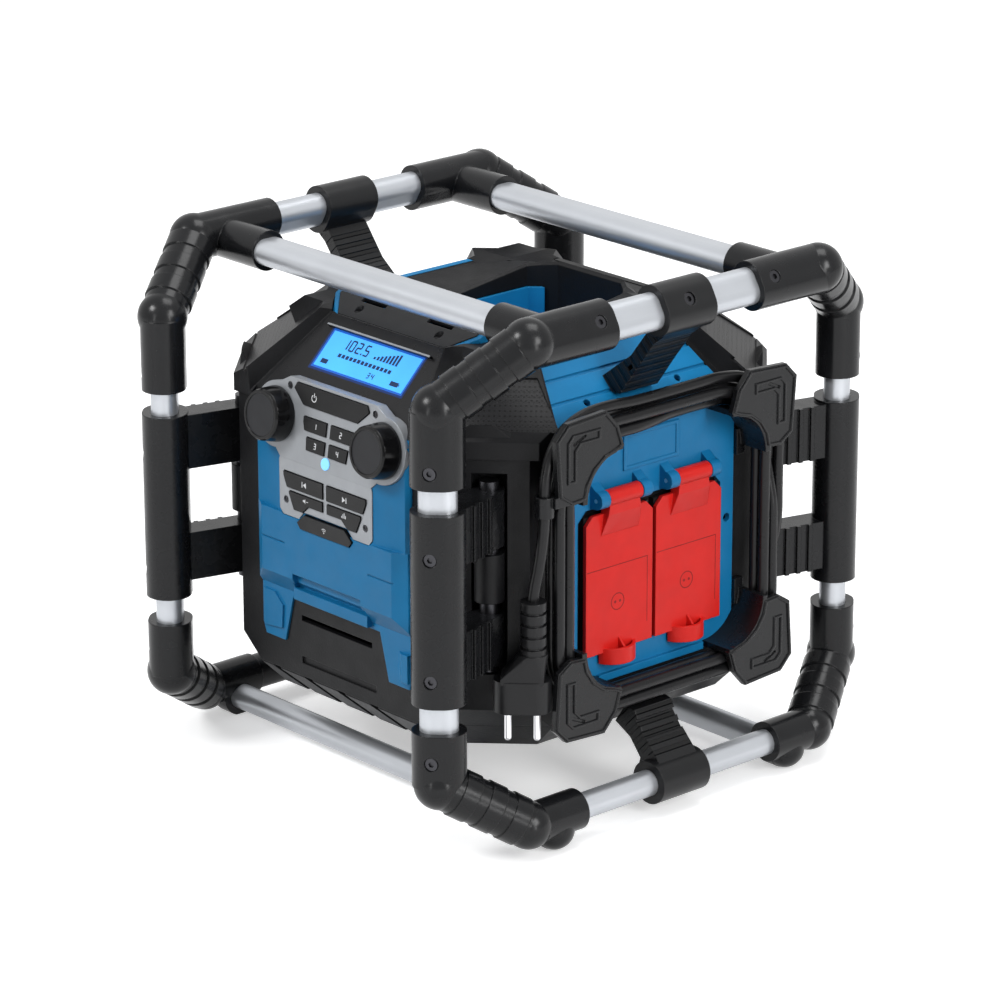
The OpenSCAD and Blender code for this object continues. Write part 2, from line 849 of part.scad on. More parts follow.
module battery_latch() {
    color("#b3261e") raised() rotate(180) {
        slab([-16, 16], [-panel_y - 1.4, -panel_y + 3.4], [30, 42]);
        slab([-18.5, 18.5], [-panel_y + 3.3, -panel_y + 5], [28, 49]);
        for (x = [-10 : 5 : 10]) slab([x - 1, x + 1], [-panel_y - 2.2, -panel_y - 1.2], [32, 40]);
    }
}

module port_door() {
    color("#1d1e20") raised() rotate(-90) {
        door_leaf(panel_x, port_door_half, port_door_z, port_door_z[0] - door_pin_drop);
        slab([-9, 9], [-panel_x - 3, -panel_x + 1], [port_door_z[1] - 6, port_door_z[1] - 2]);
    }
}

// ---- top of the sound box ----------------------------------------------------------------

// Plan of the well in the top, seen from its middle: reach in direction a, and its height.
function well_reach(a, half = well, cut = well_cut) =
    min(half[0] / max(abs(cos(a)), 0.01), half[1] / max(abs(sin(a)), 0.01),
        (half[0] + half[1] - cut) / (abs(cos(a)) + abs(sin(a))));
function rim_height(y) = max(124, 124.6 + 0.13 * y);
function edge_height(a) = 131.4 - 1.6 * cos(4 * a);
// The black wall of the well goes down to the floor at the rear and to the liner elsewhere.
function wall_foot(a) = sin(a) > 0.85 ? well_floor + 2 : liner_z;

module top_cover() {
    steps = 48;
    section = 7;
    function ring(a) = let (r = well_reach(a), z = rim_height(bowl_y + r * sin(a))) [
        [collar_r, 122], [collar_r, edge_height(a)], [r + 2.5, z + 0.6], [r, z - 1.2],
        [r, wall_foot(a)], [r + 3, wall_foot(a)], [r + 3, z - 5]];
    points = [for (i = [0 : steps - 1]) let (a = i * 360 / steps) for (p = ring(a))
        [p[0] * cos(a), bowl_y + p[0] * sin(a), p[1]]];
    faces = [for (i = [0 : steps - 1], k = [0 : section - 1])
        let (j = (i + 1) % steps, m = (k + 1) % section)
            for (t = [[i * section + k, i * section + m, j * section + m],
                      [i * section + k, j * section + m, j * section + k]]) t];
    color("#26272a") raised() polyhedron(points, faces);
}

module well_outline(inset) {
    x = well[0] - inset;
    y = well[1] - inset;
    c = well_cut - inset * (2 - sqrt(2));
    translate([0, bowl_y]) polygon(both_sides([[x - c, -y], [x, c - y], [x, y - c], [x - c, y]]));
}

// Coloured liner of the well, and the coloured frame under the bridge.
module bowl_liner() {
    color("#1f74ad") raised() {
        difference() {
            translate([0, 0, well_floor - 3]) linear_extrude(liner_z - well_floor + 2.7)
                well_outline(0.2);
            translate([0, 0, well_floor]) linear_extrude(40) well_outline(2.6);
            slab([-60, 60], [bowl_y + well[1] - 7, 100], [well_floor + 1.6, 140]);
        }
        bridge_frame();
    }
}

// Plan of the bridge; side and front widen it.
module bridge_plan(side, front) {
    polygon(both_sides([[54 + side, -99.4 - front], [69 + side, -84.4 - front],
                        [69 + side, -76.2]]));
}

module bridge_shape(side, front) {
    intersection() {
        translate([0, 0, 120]) linear_extrude(40) bridge_plan(side, front);
        along_x(200) children();
    }
}

module bridge_room() {
    translate([0, 0, 127.5]) linear_extrude(30) bridge_plan(4.6, 1.4);
}

module bridge_frame() {
    difference() {
        union() {
            difference() {
                bridge_shape(4.2, 0.8) polygon([
                    [-100.2, 127.6], [-100.2, 128.6], [-80.6, 139.8], [-76.2, 139.8],
                    [-76.2, 131.8], [-84.2, 131.8], [-84.2, 127.6]]);
                translate([0, 0, 120]) linear_extrude(40) offset(delta = 0.2) bridge_plan(0, 0);
            }
            bridge_shape(4.2, 0.8) polygon([[-100.2, 127.6], [-100.2, 128.2], [-92, 128.2],
                                            [-92, 127.6]]);
            bridge_shape(1, 0) polygon([[-96.3, 127.7], [-79.2, 137.6], [-79.2, 135.3],
                                        [-92.3, 127.7]]);
        }
        slab([-47, -27], [-92, -79], [128.5, 150]);
        slab([20, 47], [-92, -79], [128.5, 150]);
    }
}

module top_bridge() {
    color("#303134") raised() difference() {
        bridge_shape(0, 0) polygon([
            [-99.4, 128.4], [-99.4, 129.8], [-80, 140.9], [-76.2, 140.9], [-76.2, 131.8],
            [-79, 131.8], [-79, 138.2], [-96.2, 128.4]]);
        for (s = [-1, 1]) {
            translate([s * 40.3, -92.2, 132]) cylinder(r = 3.2, h = 10);
            translate([s * 33.5, -84.3, 130]) slab([-12.5, 12.5], [-2, 2], [0, 20]);
        }
    }
}

// ---- speakers ------------------------------------------------------------------------------

// Children lie on the front right facet, X along its edge and Z out of it.
module on_facet() {
    tilt = 90 - atan(facet_rise);
    rotate(45) translate([0, -156, rim_z[1] + facet_rise * (rim_d - 156)])
        rotate([90 - tilt, 0, 0]) children();
}

module facet_shape() {
    polygon([[-46, -20], [46, -20], [30, 22], [-30, 22]]);
}

module four_facets() {
    for (a = [0, 90, 180, 270]) rotate(a) on_facet() children();
}

module grille_pockets() {
    four_facets() translate([0, 0, -2.5]) linear_extrude(20) facet_shape();
    four_facets() translate([0, 0, -20]) cylinder(d = 30, h = 30);
}

module speaker_grilles() {
    color("#141416") raised() four_facets() translate([0, 0, -2.5])
        linear_extrude(1.5) facet_shape();
}

module corner_speakers() {
    color("#3a3a3c") raised() four_facets() rotate_extrude()
        polygon([[0, -16], [6, -16], [13, -4.2], [15, -4.2], [15, -12], [19, -20], [8, -26],
                 [8, -30], [0, -30]]);
}

module subwoofer() {
    color("#3a3a3c") raised() translate([0, -60, -106]) {
        rotate_extrude() polygon([[0, 14], [14, 10], [40, 2], [46, 2], [46, -2.8], [0, -2.8]]);
        translate([0, 0, 10]) cylinder(r = 22, h = 22);
    }
}

module power_unit() {
    color("#5c6a3a") raised() {
        slab([48, 118], [-35, 65], [-90, -86]);
        translate([54, -30, -87]) cube([46, 46, 40]);
        for (y = [28, 46]) translate([66, y, -87]) cylinder(d = 16, h = 30);
        for (x = [52, 114], y = [-31, 61]) translate([x, y, bottom_z + shell])
            cylinder(r = 3, h = -90 - bottom_z - shell + 0.5);
    }
}

// ---- controls ------------------------------------------------------------------------------

module upper_face() { translate([0, face_y, crease_z]) rotate([90 - lean, 0, 0]) children(); }
module lower_face() { translate([0, face_y, 22]) rotate([90, 0, 0]) children(); }

module upper_outline() {
    polygon(both_sides([[46, -1], [56, 8], [56, 48], [44, 54.5]]));
    for (s = [-1, 1]) translate([s * knob_x, knob_v]) circle(r = lobe_r);
}

module lower_outline() {
    difference() {
        polygon(both_sides([[44, -18], [47.5, -14], [47.5, 20], [46, 23]]));
        polygon(both_sides([[27, -30], [29.6, -20], [22.6, -12.1]]));
    }
}

module fascia_block(grow) {
    upper_face() translate([0, 0, -fascia_t]) linear_extrude(fascia_t + 20)
        offset(delta = grow) upper_outline();
    lower_face() translate([0, 0, -fascia_t]) linear_extrude(fascia_t + 20)
        offset(delta = grow) union() {
            lower_outline();
            wireless_shape();
        }
}

module power_shape() { polygon(both_sides([[27.5, 38.3], [38.5, 48], [36, 52.5]])); }

module preset_shape(n) {
    low = n > 2;
    outer = low ? 21.5 : 26;
    v = low ? [9.2, 18.6] : [22, 31.8];
    mirror([n % 2, 0, 0]) polygon(low
        ? [[1.8, v[0]], [outer - 1, v[0]], [outer, v[1]], [1.8, v[1]]]
        : [[1.8, v[0]], [outer - 2, v[0]], [outer, v[1] - 4], [outer, v[1]], [1.8, v[1]]]);
}

module skip_shape(side) {
    scale([side, 1]) polygon([[1.6, 2], [39, 2], [42.5, 10], [42.5, 13.3], [1.6, 13.3]]);
}

module function_shape(side) {
    scale([side, 1]) polygon([[2, -7.2], [17, -7.2], [23, -12.5], [32, -12.5], [37, -2],
                              [37, 0.3], [2, 0.3]]);
}

module wireless_shape() {
    polygon(both_sides([[25, -24.2], [28.5, -20], [21, -13]]));
}

// A key in its window: the cap stands proud of the panel and reaches 6 mm in.
module key_cap(height = button_out) {
    translate([0, 0, -6]) linear_extrude(6 + height) offset(delta = -button_gap) children();
}

module key_window() { translate([0, 0, -20]) linear_extrude(40) children(); }

module control_fascia() {
    color("#b9bcc1") raised() difference() {
        union() {
            upper_face() translate([0, 0, -fascia_t]) linear_extrude(fascia_t) upper_outline();
            lower_face() translate([0, 0, -fascia_t]) linear_extrude(fascia_t) lower_outline();
        }
        upper_face() {
            key_window() power_shape();
            for (n = [1 : 4]) key_window() preset_shape(n);
            for (s = [-1, 1]) {
                translate([s * knob_x, knob_v, -20]) cylinder(r = 3 + pin_play, h = 40);
                translate([s * 43.4, 48.2, -2]) cylinder(r = 2.6, h = 10);
            }
            translate([0, light_v, -20]) cylinder(r = light_r, h = 40);
        }
        lower_face() {
            for (s = [-1, 1]) {
                key_window() skip_shape(s);
                key_window() function_shape(s);
                translate([s * 40.7, -7.1, -2]) cylinder(r = 2.6, h = 10);
            }
        }
    }
}

module knob(side) {
    color("#1a1a1c") raised() upper_face() translate([side * knob_x, knob_v, 0]) {
        translate([0, 0, -12]) cylinder(r = 3, h = 14);
        difference() {
            translate([0, 0, 0.5]) rotate_extrude() polygon([
                [0, 0], [knob_d / 2, 0], [knob_d / 2, 1.5], [knob_d / 2 - 1.6, knob_h - 2],
                [knob_d / 2 - 2.6, knob_h - 0.5], [0, knob_h - 0.5]]);
            translate([0, 0, knob_h - 0.6]) cylinder(r = knob_d / 2 - 4.5, h = 2);
        }
    }
}

module left_knob() { knob(-1); }
module right_knob() { knob(1); }
module power_button() { color("#151517") raised() upper_face() key_cap() power_shape(); }

module preset_button(n) { color("#151517") raised() upper_face() key_cap() preset_shape(n); }
module preset_button_1() { preset_button(1); }
module preset_button_2() { preset_button(2); }
module preset_button_3() { preset_button(3); }
module preset_button_4() { preset_button(4); }

module previous_button() { color("#151517") raised() lower_face() key_cap() skip_shape(-1); }
module next_button() { color("#151517") raised() lower_face() key_cap() skip_shape(1); }
module mute_button() { color("#151517") raised() lower_face() key_cap() function_shape(-1); }
module equalizer_button() { color("#151517") raised() lower_face() key_cap() function_shape(1); }

module wireless_button() {
    color("#151517") raised() lower_face() key_cap(1.6) wireless_shape();
}

module status_light() {
    color("#4fb3ff") raised() upper_face() translate([0, light_v, -fascia_t]) {
        cylinder(r = light_r, h = fascia_t + 0.6);
        translate([0, 0, -1]) cylinder(r = light_r + 1.2, h = 1);
    }
}

// ---- display -------------------------------------------------------------------------------

// Children lie on the front slope: X across, Y up the slope, Z out of it.
module front_slope() { translate([0, 111 - slope_y, 111]) rotate([45, 0, 0]) children(); }

module display_bezel() {
    color("#1b1c1e") raised() difference() {
        union() {
            intersection() {
                wrap_panel(panel_y, slope_y, slope_panel_top);
                slab([-90, 90], [-200, 0], [82, 140]);
            }
            front_slope() slab([-52, 52], [16.7, 18.4], [-1, 2.9]);
        }
        fascia_block(0.2);
        bridge_room();
        front_slope() translate([0, 1.5, 0]) cube([window_l, window_w, 2.4], center = true);
    }
}

module display_window() {
    color("#3d8fe0") raised() front_slope() translate([0, 1.5, -0.6])
        cube([window_l, window_w, 1.2], center = true);
}

// ---- sockets -------------------------------------------------------------------------------

module cover_outline(half) {
    polygon([[-half, -48], [half, -48], [half, 43], [half - 6, 49], [6 - half, 49], [-half, 43]]);
}

module outlet_sockets() {
    color("#1d1e20") raised() difference() {
        union() {
            translate([138.8, 0, -22]) rotate([90, 0, 90]) linear_extrude(2.5) recess_outline(68);
            socket_places() {
                translate([131.5, 0, 0]) rotate([90, 0, 90]) linear_extrude(14.8)
                    square([2 * cover_half - 2, 96], center = true);
                translate([122, 0, 0]) rotate([0, 90, 0]) cylinder(d = 48, h = 12);
            }
        }
        socket_places() {
            translate([146.3 - socket_depth, 0, 0]) rotate([0, 90, 0])
                cylinder(d = socket_d, h = 30);
            for (s = [-1, 1]) translate([120, 9.5 * s, 0]) rotate([0, 90, 0])
                cylinder(r = 2.7, h = 20);
        }
    }
}

module outlet_cover(sy) {
    axis = [hinge_x, sy * cover_y, hinge_z];
    difference() {
        union() {
            translate([146.9, sy * cover_y, -22]) rotate([90, 0, 90]) linear_extrude(3)
                cover_outline(cover_half);
            translate(axis) rotate([90, 0, 0]) cylinder(r = 5.7, h = 29, center = true);
            translate([0, sy * cover_y, 0]) hinge_wedge();
            translate([147.5, sy * cover_y, -78]) thumb_cup();
        }
        translate(axis) rotate([90, 0, 0]) cylinder(r = pin_r + pin_play, h = 60, center = true);
    }
}

// Wedge that runs from the hinge down into the cover, wider at its foot.
module hinge_wedge() {
    intersection() {
        along_y(40) polygon([[147.1, 12.5], [150.3, 12.5], [hinge_x + 3.4, 27],
                             [hinge_x + 3.4, hinge_z - 3], [147.1, hinge_z - 3]]);
        rotate([90, 0, 90]) linear_extrude(200) polygon(both_sides([[17, 12], [13, 36]]));
    }
}

// Half-round cup under the cover, pulled open with a thumb, with a web in its middle.
module thumb_cup() {
    difference() {
        cup_form(16.4, 11);
        translate([0, 0, 2.5]) cup_form(14.2, 12);
    }
    along_y(1.6) polygon([[0, 0], [9.5, 0], [9.5, 9], [0, 19]]);
}

module cup_form(r, h) {
    intersection() {
        translate([-5.4, 0, 0]) cylinder(r = r, h = h);
        slab([-0.6, 20], [-r, r], [-1, h + 1]);
    }
}

module outlet_cover_a() { color("#d8332a") raised() outlet_cover(-1); }
module outlet_cover_b() { color("#d8332a") raised() outlet_cover(1); }

module hinge_pins() {
    color("silver") raised() {
        hinge_pin_bores();
        translate([0, panel_y - door_pin_y, battery_z[0] - door_pin_drop]) rotate([0, 90, 0])
            cylinder(r = pin_r, h = 2 * battery_half, center = true);
        translate([-panel_x + door_pin_y, 0, port_door_z[0] - door_pin_drop]) rotate([90, 0, 0])
            cylinder(r = pin_r, h = 2 * port_door_half, center = true);
    }
}

// ---- cord brackets, winding, lead and plug ---------------------------------------------------

// Bracket at the upper right of the right side: foot wall around the bend, plate over the cord.
module bracket_plate() {
    polygon([[109, 99], [99, 109], [65, 111], [54, 99], [49, 84], [56, 81], [65, 78.5], [74, 72],
             [80, 63], [82, 54], [95, 53], [106, 60]]);
}

module cord_bracket(flip) {
    translate([0, 0, winding_mid_z]) mirror([0, flip[0] < 0 ? 1 : 0, 0])
        mirror([0, 0, flip[1] < 0 ? 1 : 0]) difference() {
            union() {
                translate([bracket_x[0], 0, 0]) rotate([90, 0, 90])
                    linear_extrude(bracket_x[1] - bracket_x[0]) bracket_plate();
                intersection() {
                    translate([panel_x, arc_at[0], arc_at[1]]) rotate([0, 90, 0]) difference() {
                        cylinder(r = arc_r + arc_wall, h = bracket_x[1] - panel_x);
                        translate([0, 0, -1]) cylinder(r = arc_r, h = 40);
                    }
                    slab([100, 200], [arc_at[0], 120], [arc_at[1], 120]);
                }
                slab([half_x, panel_x + 3], [panel_half + 0.2, arc_at[0] + arc_r + arc_wall],
                     [44, 62]);
            }
            translate([bracket_x[1] - 1.2, 0, 0]) rotate([90, 0, 90]) linear_extrude(3)
                translate([88, 96]) rotate(-24) square([12, 2], center = true);
        }
}

module cord_brackets() {
    color("#232427") raised() {
        for (sy = [-1, 1], sz = [-1, 1]) cord_bracket([sy, sz]);
        difference() {
            union() {
                translate([162.5, -110, 43]) cylinder(r = 6.4, h = 14);
                slab([167, bracket_x[1]], [-109, -96], [50, 57]);
            }
            translate([162.5, -110, 30]) cylinder(d = lead_d + 1.4, h = 50);
        }
    }
}

// Rounded rectangle of the winding's inner or outer face in Y-Z.
module winding_loop(r) {
    for (sy = [-1, 1], sz = [-1, 1]) translate([sy * arc_at[0], sz * arc_at[1]]) circle(r = r);
    square([2 * (arc_at[0] + r), 2 * arc_at[1]], center = true);
    square([2 * arc_at[0], 2 * (arc_at[1] + r)], center = true);
}

module cord_winding() {
    color("#151517") raised() translate([winding_x[0], 0, winding_mid_z]) rotate([90, 0, 90])
        linear_extrude(winding_x[1] - winding_x[0]) difference() {
            winding_loop(arc_r + arc_wall + 2 * lead_d);
            winding_loop(arc_r + arc_wall + 0.2);
        }
}

function unit(v) = v / norm(v);
// Point on the smooth curve through four neighbours of the route, at fraction t.
function curve(p, t) = 0.5 * (2 * p[1] + (p[2] - p[0]) * t
    + (2 * p[0] - 5 * p[1] + 4 * p[2] - p[3]) * t * t
    + (3 * p[1] - p[0] - 3 * p[2] + p[3]) * t * t * t);
function smooth(route) = let (n = len(route)) concat(
    [for (i = [0 : n - 2], t = [0, 0.5]) curve(
        [route[max(i - 1, 0)], route[i], route[i + 1], route[min(i + 2, n - 1)]], t)],
    [route[n - 1]]);

module cord_tail() {
    path = smooth(lead_route);
    n = len(path);
    sides = 10;
    function heading(i) = unit(path[min(i + 1, n - 1)] - path[max(i - 1, 0)]);
    rings = [for (i = [0 : n - 1]) let (d = heading(i), u = unit(cross(d, [1, 0.05, 0])),
                                        w = cross(d, u))
        for (k = [0 : sides - 1]) let (a = 360 * k / sides)
            path[i] + lead_d / 2 * (cos(a) * u + sin(a) * w)];
    walls = [for (i = [0 : n - 2], k = [0 : sides - 1]) let (m = (k + 1) % sides)
        for (t = [[i * sides + k, (i + 1) * sides + m, i * sides + m],
                  [i * sides + k, (i + 1) * sides + k, (i + 1) * sides + m]]) t];
    caps = [[for (k = [0 : sides - 1]) k], [for (k = [sides - 1 : -1 : 0]) (n - 1) * sides + k]];
    color("#151517") raised() polyhedron(rings, concat(walls, caps));
}

module mains_plug() {
    color("#2a2b2e") raised() {
        difference() {
            union() {
                translate([plug_at[0], plug_at[1], -90]) rotate(45) linear_extrude(22)
                    slot(38, 21.6);
                hull() {
                    translate([plug_at[0], plug_at[1], -70]) rotate(45) linear_extrude(4)
                        square([28, 20], center = true);
                    translate([relief_at[0], relief_at[1], -52])
                        cylinder(r = relief_r + 1, h = 2, $fn = 32);
                }
                translate([relief_at[0], relief_at[1], -52]) cylinder(r = relief_r, h = 38);
            }
            for (z = [-46 : 8 : -20]) translate([relief_at[0], relief_at[1], z]) difference() {
                cylinder(r = relief_r + 2, h = 2);
                cylinder(r = relief_r - 1.6, h = 2);
            }
        }
    }
    color("silver") raised() for (s = [-1, 1])
        translate([plug_at[0] + s * 9.5 * cos(45), plug_at[1] + s * 9.5 * sin(45), -109]) {
            cylinder(d = plug_pin_d, h = 20);
            sphere(d = plug_pin_d);
        }
}

post_tubes();
top_cross_tubes();
top_side_tubes();
bottom_tubes();
corner_top_front_left();
corner_top_front_right();
corner_top_rear_left();
corner_top_rear_right();
corner_bottom_front_left();
corner_bottom_front_right();
corner_bottom_rear_left();
corner_bottom_rear_right();
post_sleeve_front_left();
post_sleeve_front_right();
post_sleeve_rear_left();
post_sleeve_rear_right();
tube_clamps_top();
tube_clamps_bottom();
cage_screws();
mount_rods();
main_housing();
base_housing();
front_panel();
right_panel();
left_panel();
rear_panel();
top_cover();
top_bridge();
bowl_liner();
speaker_grilles();
display_bezel();
display_window();
control_fascia();
left_knob();
right_knob();
power_button();
preset_button_1();
preset_button_2();
preset_button_3();
preset_button_4();
previous_button();
next_button();
mute_button();
equalizer_button();
wireless_button();
status_light();
outlet_cover_a();
outlet_cover_b();
outlet_sockets();
hinge_pins();
cord_brackets();
cord_winding();
cord_tail();
mains_plug();
battery_door();
battery_latch();
port_door();
corner_speakers();
subwoofer();
power_unit();
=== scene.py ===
"""Looks of the jobsite radio: camera, studio, materials, the wound lead and the fine details."""
import math

import bmesh
import bpy
from mathutils import Matrix, Vector


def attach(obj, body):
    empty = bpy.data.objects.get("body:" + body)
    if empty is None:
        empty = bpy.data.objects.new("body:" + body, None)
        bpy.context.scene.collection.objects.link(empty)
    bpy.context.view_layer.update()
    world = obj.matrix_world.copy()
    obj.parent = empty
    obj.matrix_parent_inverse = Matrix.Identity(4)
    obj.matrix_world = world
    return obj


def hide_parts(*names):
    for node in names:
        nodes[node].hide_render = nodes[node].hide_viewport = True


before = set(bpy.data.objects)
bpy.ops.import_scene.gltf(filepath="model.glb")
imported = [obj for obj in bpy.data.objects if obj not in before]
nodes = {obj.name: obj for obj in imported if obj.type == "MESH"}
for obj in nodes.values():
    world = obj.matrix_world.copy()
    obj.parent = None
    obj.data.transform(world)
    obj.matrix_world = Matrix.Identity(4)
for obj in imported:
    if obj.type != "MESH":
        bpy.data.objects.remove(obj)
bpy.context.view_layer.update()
MM = 0.001
MID_Z = 0.1854          # height of the cage's middle plane above the ground
scene = bpy.context.scene


def mid(x, y, z):
    """A point in millimetres from the cage's middle plane, as metres from the ground."""
    return Vector((x * MM, y * MM, z * MM + MID_Z))


# ---- camera --------------------------------------------------------------------------------

AZIMUTH, ELEVATION, ROLL = 48.101, 18.751, -0.1107
CAMERA_PLACE = (2.2273, -2.0008, 1.1903)
FOCAL_PX, IMAGE_PX, SENSOR = 4619.8, 1000, 36.0


def set_camera():
    a, e, roll = (math.radians(v) for v in (AZIMUTH, ELEVATION, ROLL))
    back = Vector((math.sin(a) * math.cos(e), -math.cos(a) * math.cos(e), math.sin(e)))
    right = Vector((math.cos(a), math.sin(a), 0))
    up = back.cross(right)
    right, up = (math.cos(roll) * right + math.sin(roll) * up,
                 math.cos(roll) * up - math.sin(roll) * right)
    data = bpy.data.cameras.new("camera")
    data.sensor_width = SENSOR
    data.lens = FOCAL_PX * SENSOR / IMAGE_PX
    data.clip_start, data.clip_end = 0.05, 50
    camera = bpy.data.objects.new("camera", data)
    m = Matrix((right, up, back)).transposed().to_4x4()
    m.translation = Vector(CAMERA_PLACE)
    camera.matrix_world = m
    scene.collection.objects.link(camera)
    scene.camera = camera


set_camera()
scene.view_settings.view_transform = "Standard"

# ---- materials -----------------------------------------------------------------------------


SHEEN = 0.24            # specular level, low so that black parts stay black in white surroundings
EDGE_SAMPLES = 6        # samples that round an edge in the shading


class Shader:
    """A node material: a Principled shader with helpers to hang textures on it."""

    def __init__(self, name, color, rough, metallic=0.0, **sockets):
        self.mat = bpy.data.materials.new(name)
        self.mat.use_nodes = True
        self.mat.diffuse_color = (*color[:3], 1)
        self.tree = self.mat.node_tree
        self.bsdf = self.tree.nodes["Principled BSDF"]
        self.bsdf.inputs["Base Color"].default_value = (*color[:3], 1)
        self.bsdf.inputs["Roughness"].default_value = rough
        self.bsdf.inputs["Metallic"].default_value = metallic
        self.bsdf.inputs["Specular IOR Level"].default_value = SHEEN
        for key, value in sockets.items():
            self.bsdf.inputs[key.replace("_", " ")].default_value = value
        self.coord = self.node("ShaderNodeTexCoord").outputs["Object"]
        self.color = color

    def node(self, kind, **values):
        n = self.tree.nodes.new(kind)
        for key, value in values.items():
            if key in n.inputs:
                n.inputs[key].default_value = value
            else:
                setattr(n, key, value)
        return n

    def link(self, a, b):
        self.tree.links.new(a, b)

    def noise(self, scale, detail=3.0, stretch=None):
        n = self.node("ShaderNodeTexNoise", Scale=scale, Detail=detail)
        source = self.coord
        if stretch:
            m = self.node("ShaderNodeMapping")
            m.inputs["Scale"].default_value = stretch
            self.link(source, m.inputs["Vector"])
            source = m.outputs[0]
        self.link(source, n.inputs["Vector"])
        return n.outputs["Fac"]

    def remap(self, value, low, high, start=0.3, end=0.7):
        m = self.node("ShaderNodeMapRange")
        for key, v in (("From Min", start), ("From Max", end), ("To Min", low), ("To Max", high)):
            m.inputs[key].default_value = v
        self.link(value, m.inputs["Value"])
        return m.outputs[0]

    def mottle(self, amount, scale=60, target="Base Color"):
        """Slow variation of the colour, as moulded plastic has."""
        fac = self.remap(self.noise(scale), 1 - amount, 1 + amount)
        mix = self.node("ShaderNodeVectorMath", operation="SCALE")
        mix.inputs[0].default_value = self.color[:3]
        self.link(fac, mix.inputs["Scale"])
        self.link(mix.outputs[0], self.bsdf.inputs[target])
        return mix.outputs[0]

    def vary_rough(self, amount, scale=90, stretch=None):
        base = self.bsdf.inputs["Roughness"].default_value
        fac = self.noise(scale, 4.0, stretch)
        self.link(self.remap(fac, base - amount, base + amount), self.bsdf.inputs["Roughness"])

    def surface(self, height, depth, edge=0.0):
        """Bumps the surface by a height and rounds its edges by edge metres."""
        last = None
        if edge:
            last = self.node("ShaderNodeBevel", Radius=edge)
            last.samples = EDGE_SAMPLES
        if height is not None:
            bump = self.node("ShaderNodeBump", Distance=depth)
            self.link(height, bump.inputs["Height"])
            if last:
                self.link(last.outputs[0], bump.inputs["Normal"])
            last = bump
        self.link(last.outputs[0], self.bsdf.inputs["Normal"])


def moulded(name, color, rough, grain=900, depth=0.00004, edge=0.0008, mottle=0.08, **sockets):
    """Moulded plastic: fine grain, slow mottle, softened edges."""
    s = Shader(name, color, rough, **sockets)
    s.mottle(mottle)
    s.vary_rough(0.05)
    s.surface(s.noise(grain, 2.0), depth, edge)
    return s


MAT = {}
MAT["black"] = moulded("black_moulding", (0.0070, 0.0073, 0.0082), 0.24, 700, 0.00002, 0.0010).mat
MAT["pad"] = moulded("black_padding", (0.0070, 0.0073, 0.0082), 0.27, 500, 0.00002, 0.0010).mat
MAT["housing"] = moulded("housing_texture", (0.0065, 0.0066, 0.0074), 0.42, 650, 0.00010,
                         0.0009, Specular_IOR_Level=0.16).mat
MAT["blue"] = moulded("panel_blue", (0.006, 0.165, 0.37), 0.40, 800, 0.00004, 0.0010, 0.05).mat
MAT["red"] = moulded("cover_red", (0.66, 0.016, 0.012), 0.38, 800, 0.00003, 0.0008, 0.05).mat
# A deeper red for the socket sign's print and for painted shade in the covers' grooves.
MAT["red_print_and_groove_shade"] = moulded("cover_mark", (0.22, 0.008, 0.006), 0.5, 800, 0.00003, 0, 0.05).mat
MAT["bezel"] = moulded("bezel_black", (0.0085, 0.0085, 0.0095), 0.30, 700, 0.00002, 0.0006).mat
MAT["bridge"] = moulded("bridge_grey", (0.014, 0.0145, 0.016), 0.40, 650, 0.00005, 0.0006).mat
MAT["knob"] = moulded("knob_flank", (0.0045, 0.0045, 0.005), 0.16, 900, 0.00001, 0.0006, 0.05).mat
MAT["knob_face"] = moulded("knob_face", (0.016, 0.0165, 0.019), 0.45, 900, 0.00004, 0).mat
MAT["key"] = moulded("key_black", (0.005, 0.005, 0.0055), 0.42, 1600, 0.00008, 0.0003).mat
MAT["bracket"] = moulded("bracket_black", (0.0085, 0.0088, 0.0098), 0.26, 700, 0.00002, 0.0010).mat
MAT["cord"] = moulded("cord_rubber", (0.007, 0.007, 0.0078), 0.30, 500, 0.00003, 0).mat
MAT["socket"] = moulded("socket_black", (0.008, 0.008, 0.009), 0.38, 700, 0.00003, 0.0006).mat
MAT["cone"] = moulded("speaker_cone", (0.03, 0.03, 0.031), 0.65, 400, 0.00010, 0.0).mat
MAT["board"] = moulded("circuit_board", (0.03, 0.11, 0.05), 0.5, 300, 0.00010, 0.0).mat
MAT["mark"] = moulded("white_print", (0.80, 0.81, 0.83), 0.5, 900, 0.00001, 0.0, 0.03).mat


PLUG_FACE_Z = MID_Z - 0.0902
PLUG_BLACK, PIN_METAL = (0.009, 0.009, 0.010), (0.80, 0.80, 0.82)


def plug_material():
    """Black rubber above, bright metal on the pins below the plug's face."""
    s = moulded("plug_rubber", PLUG_BLACK, 0.36, 700, 0.00005, 0.0008)
    split = s.node("ShaderNodeSeparateXYZ")
    s.link(s.coord, split.inputs[0])
    metal = s.node("ShaderNodeMath", operation="LESS_THAN")
    metal.inputs[1].default_value = PLUG_FACE_Z
    s.link(split.outputs["Z"], metal.inputs[0])
    mix = s.node("ShaderNodeMixRGB")
    mix.inputs["Color1"].default_value = (*PLUG_BLACK, 1)
    mix.inputs["Color2"].default_value = (*PIN_METAL, 1)
    s.link(metal.outputs[0], mix.inputs["Fac"])
    s.link(mix.outputs[0], s.bsdf.inputs["Base Color"])
    s.link(metal.outputs[0], s.bsdf.inputs["Metallic"])
    return s.mat


MAT["plug"] = plug_material()


RIB_PITCH, RIB_DEPTH = 0.0105, 0.0012
CLAMP_Z = 0.146         # the clamps around the tubes start this far from the middle plane


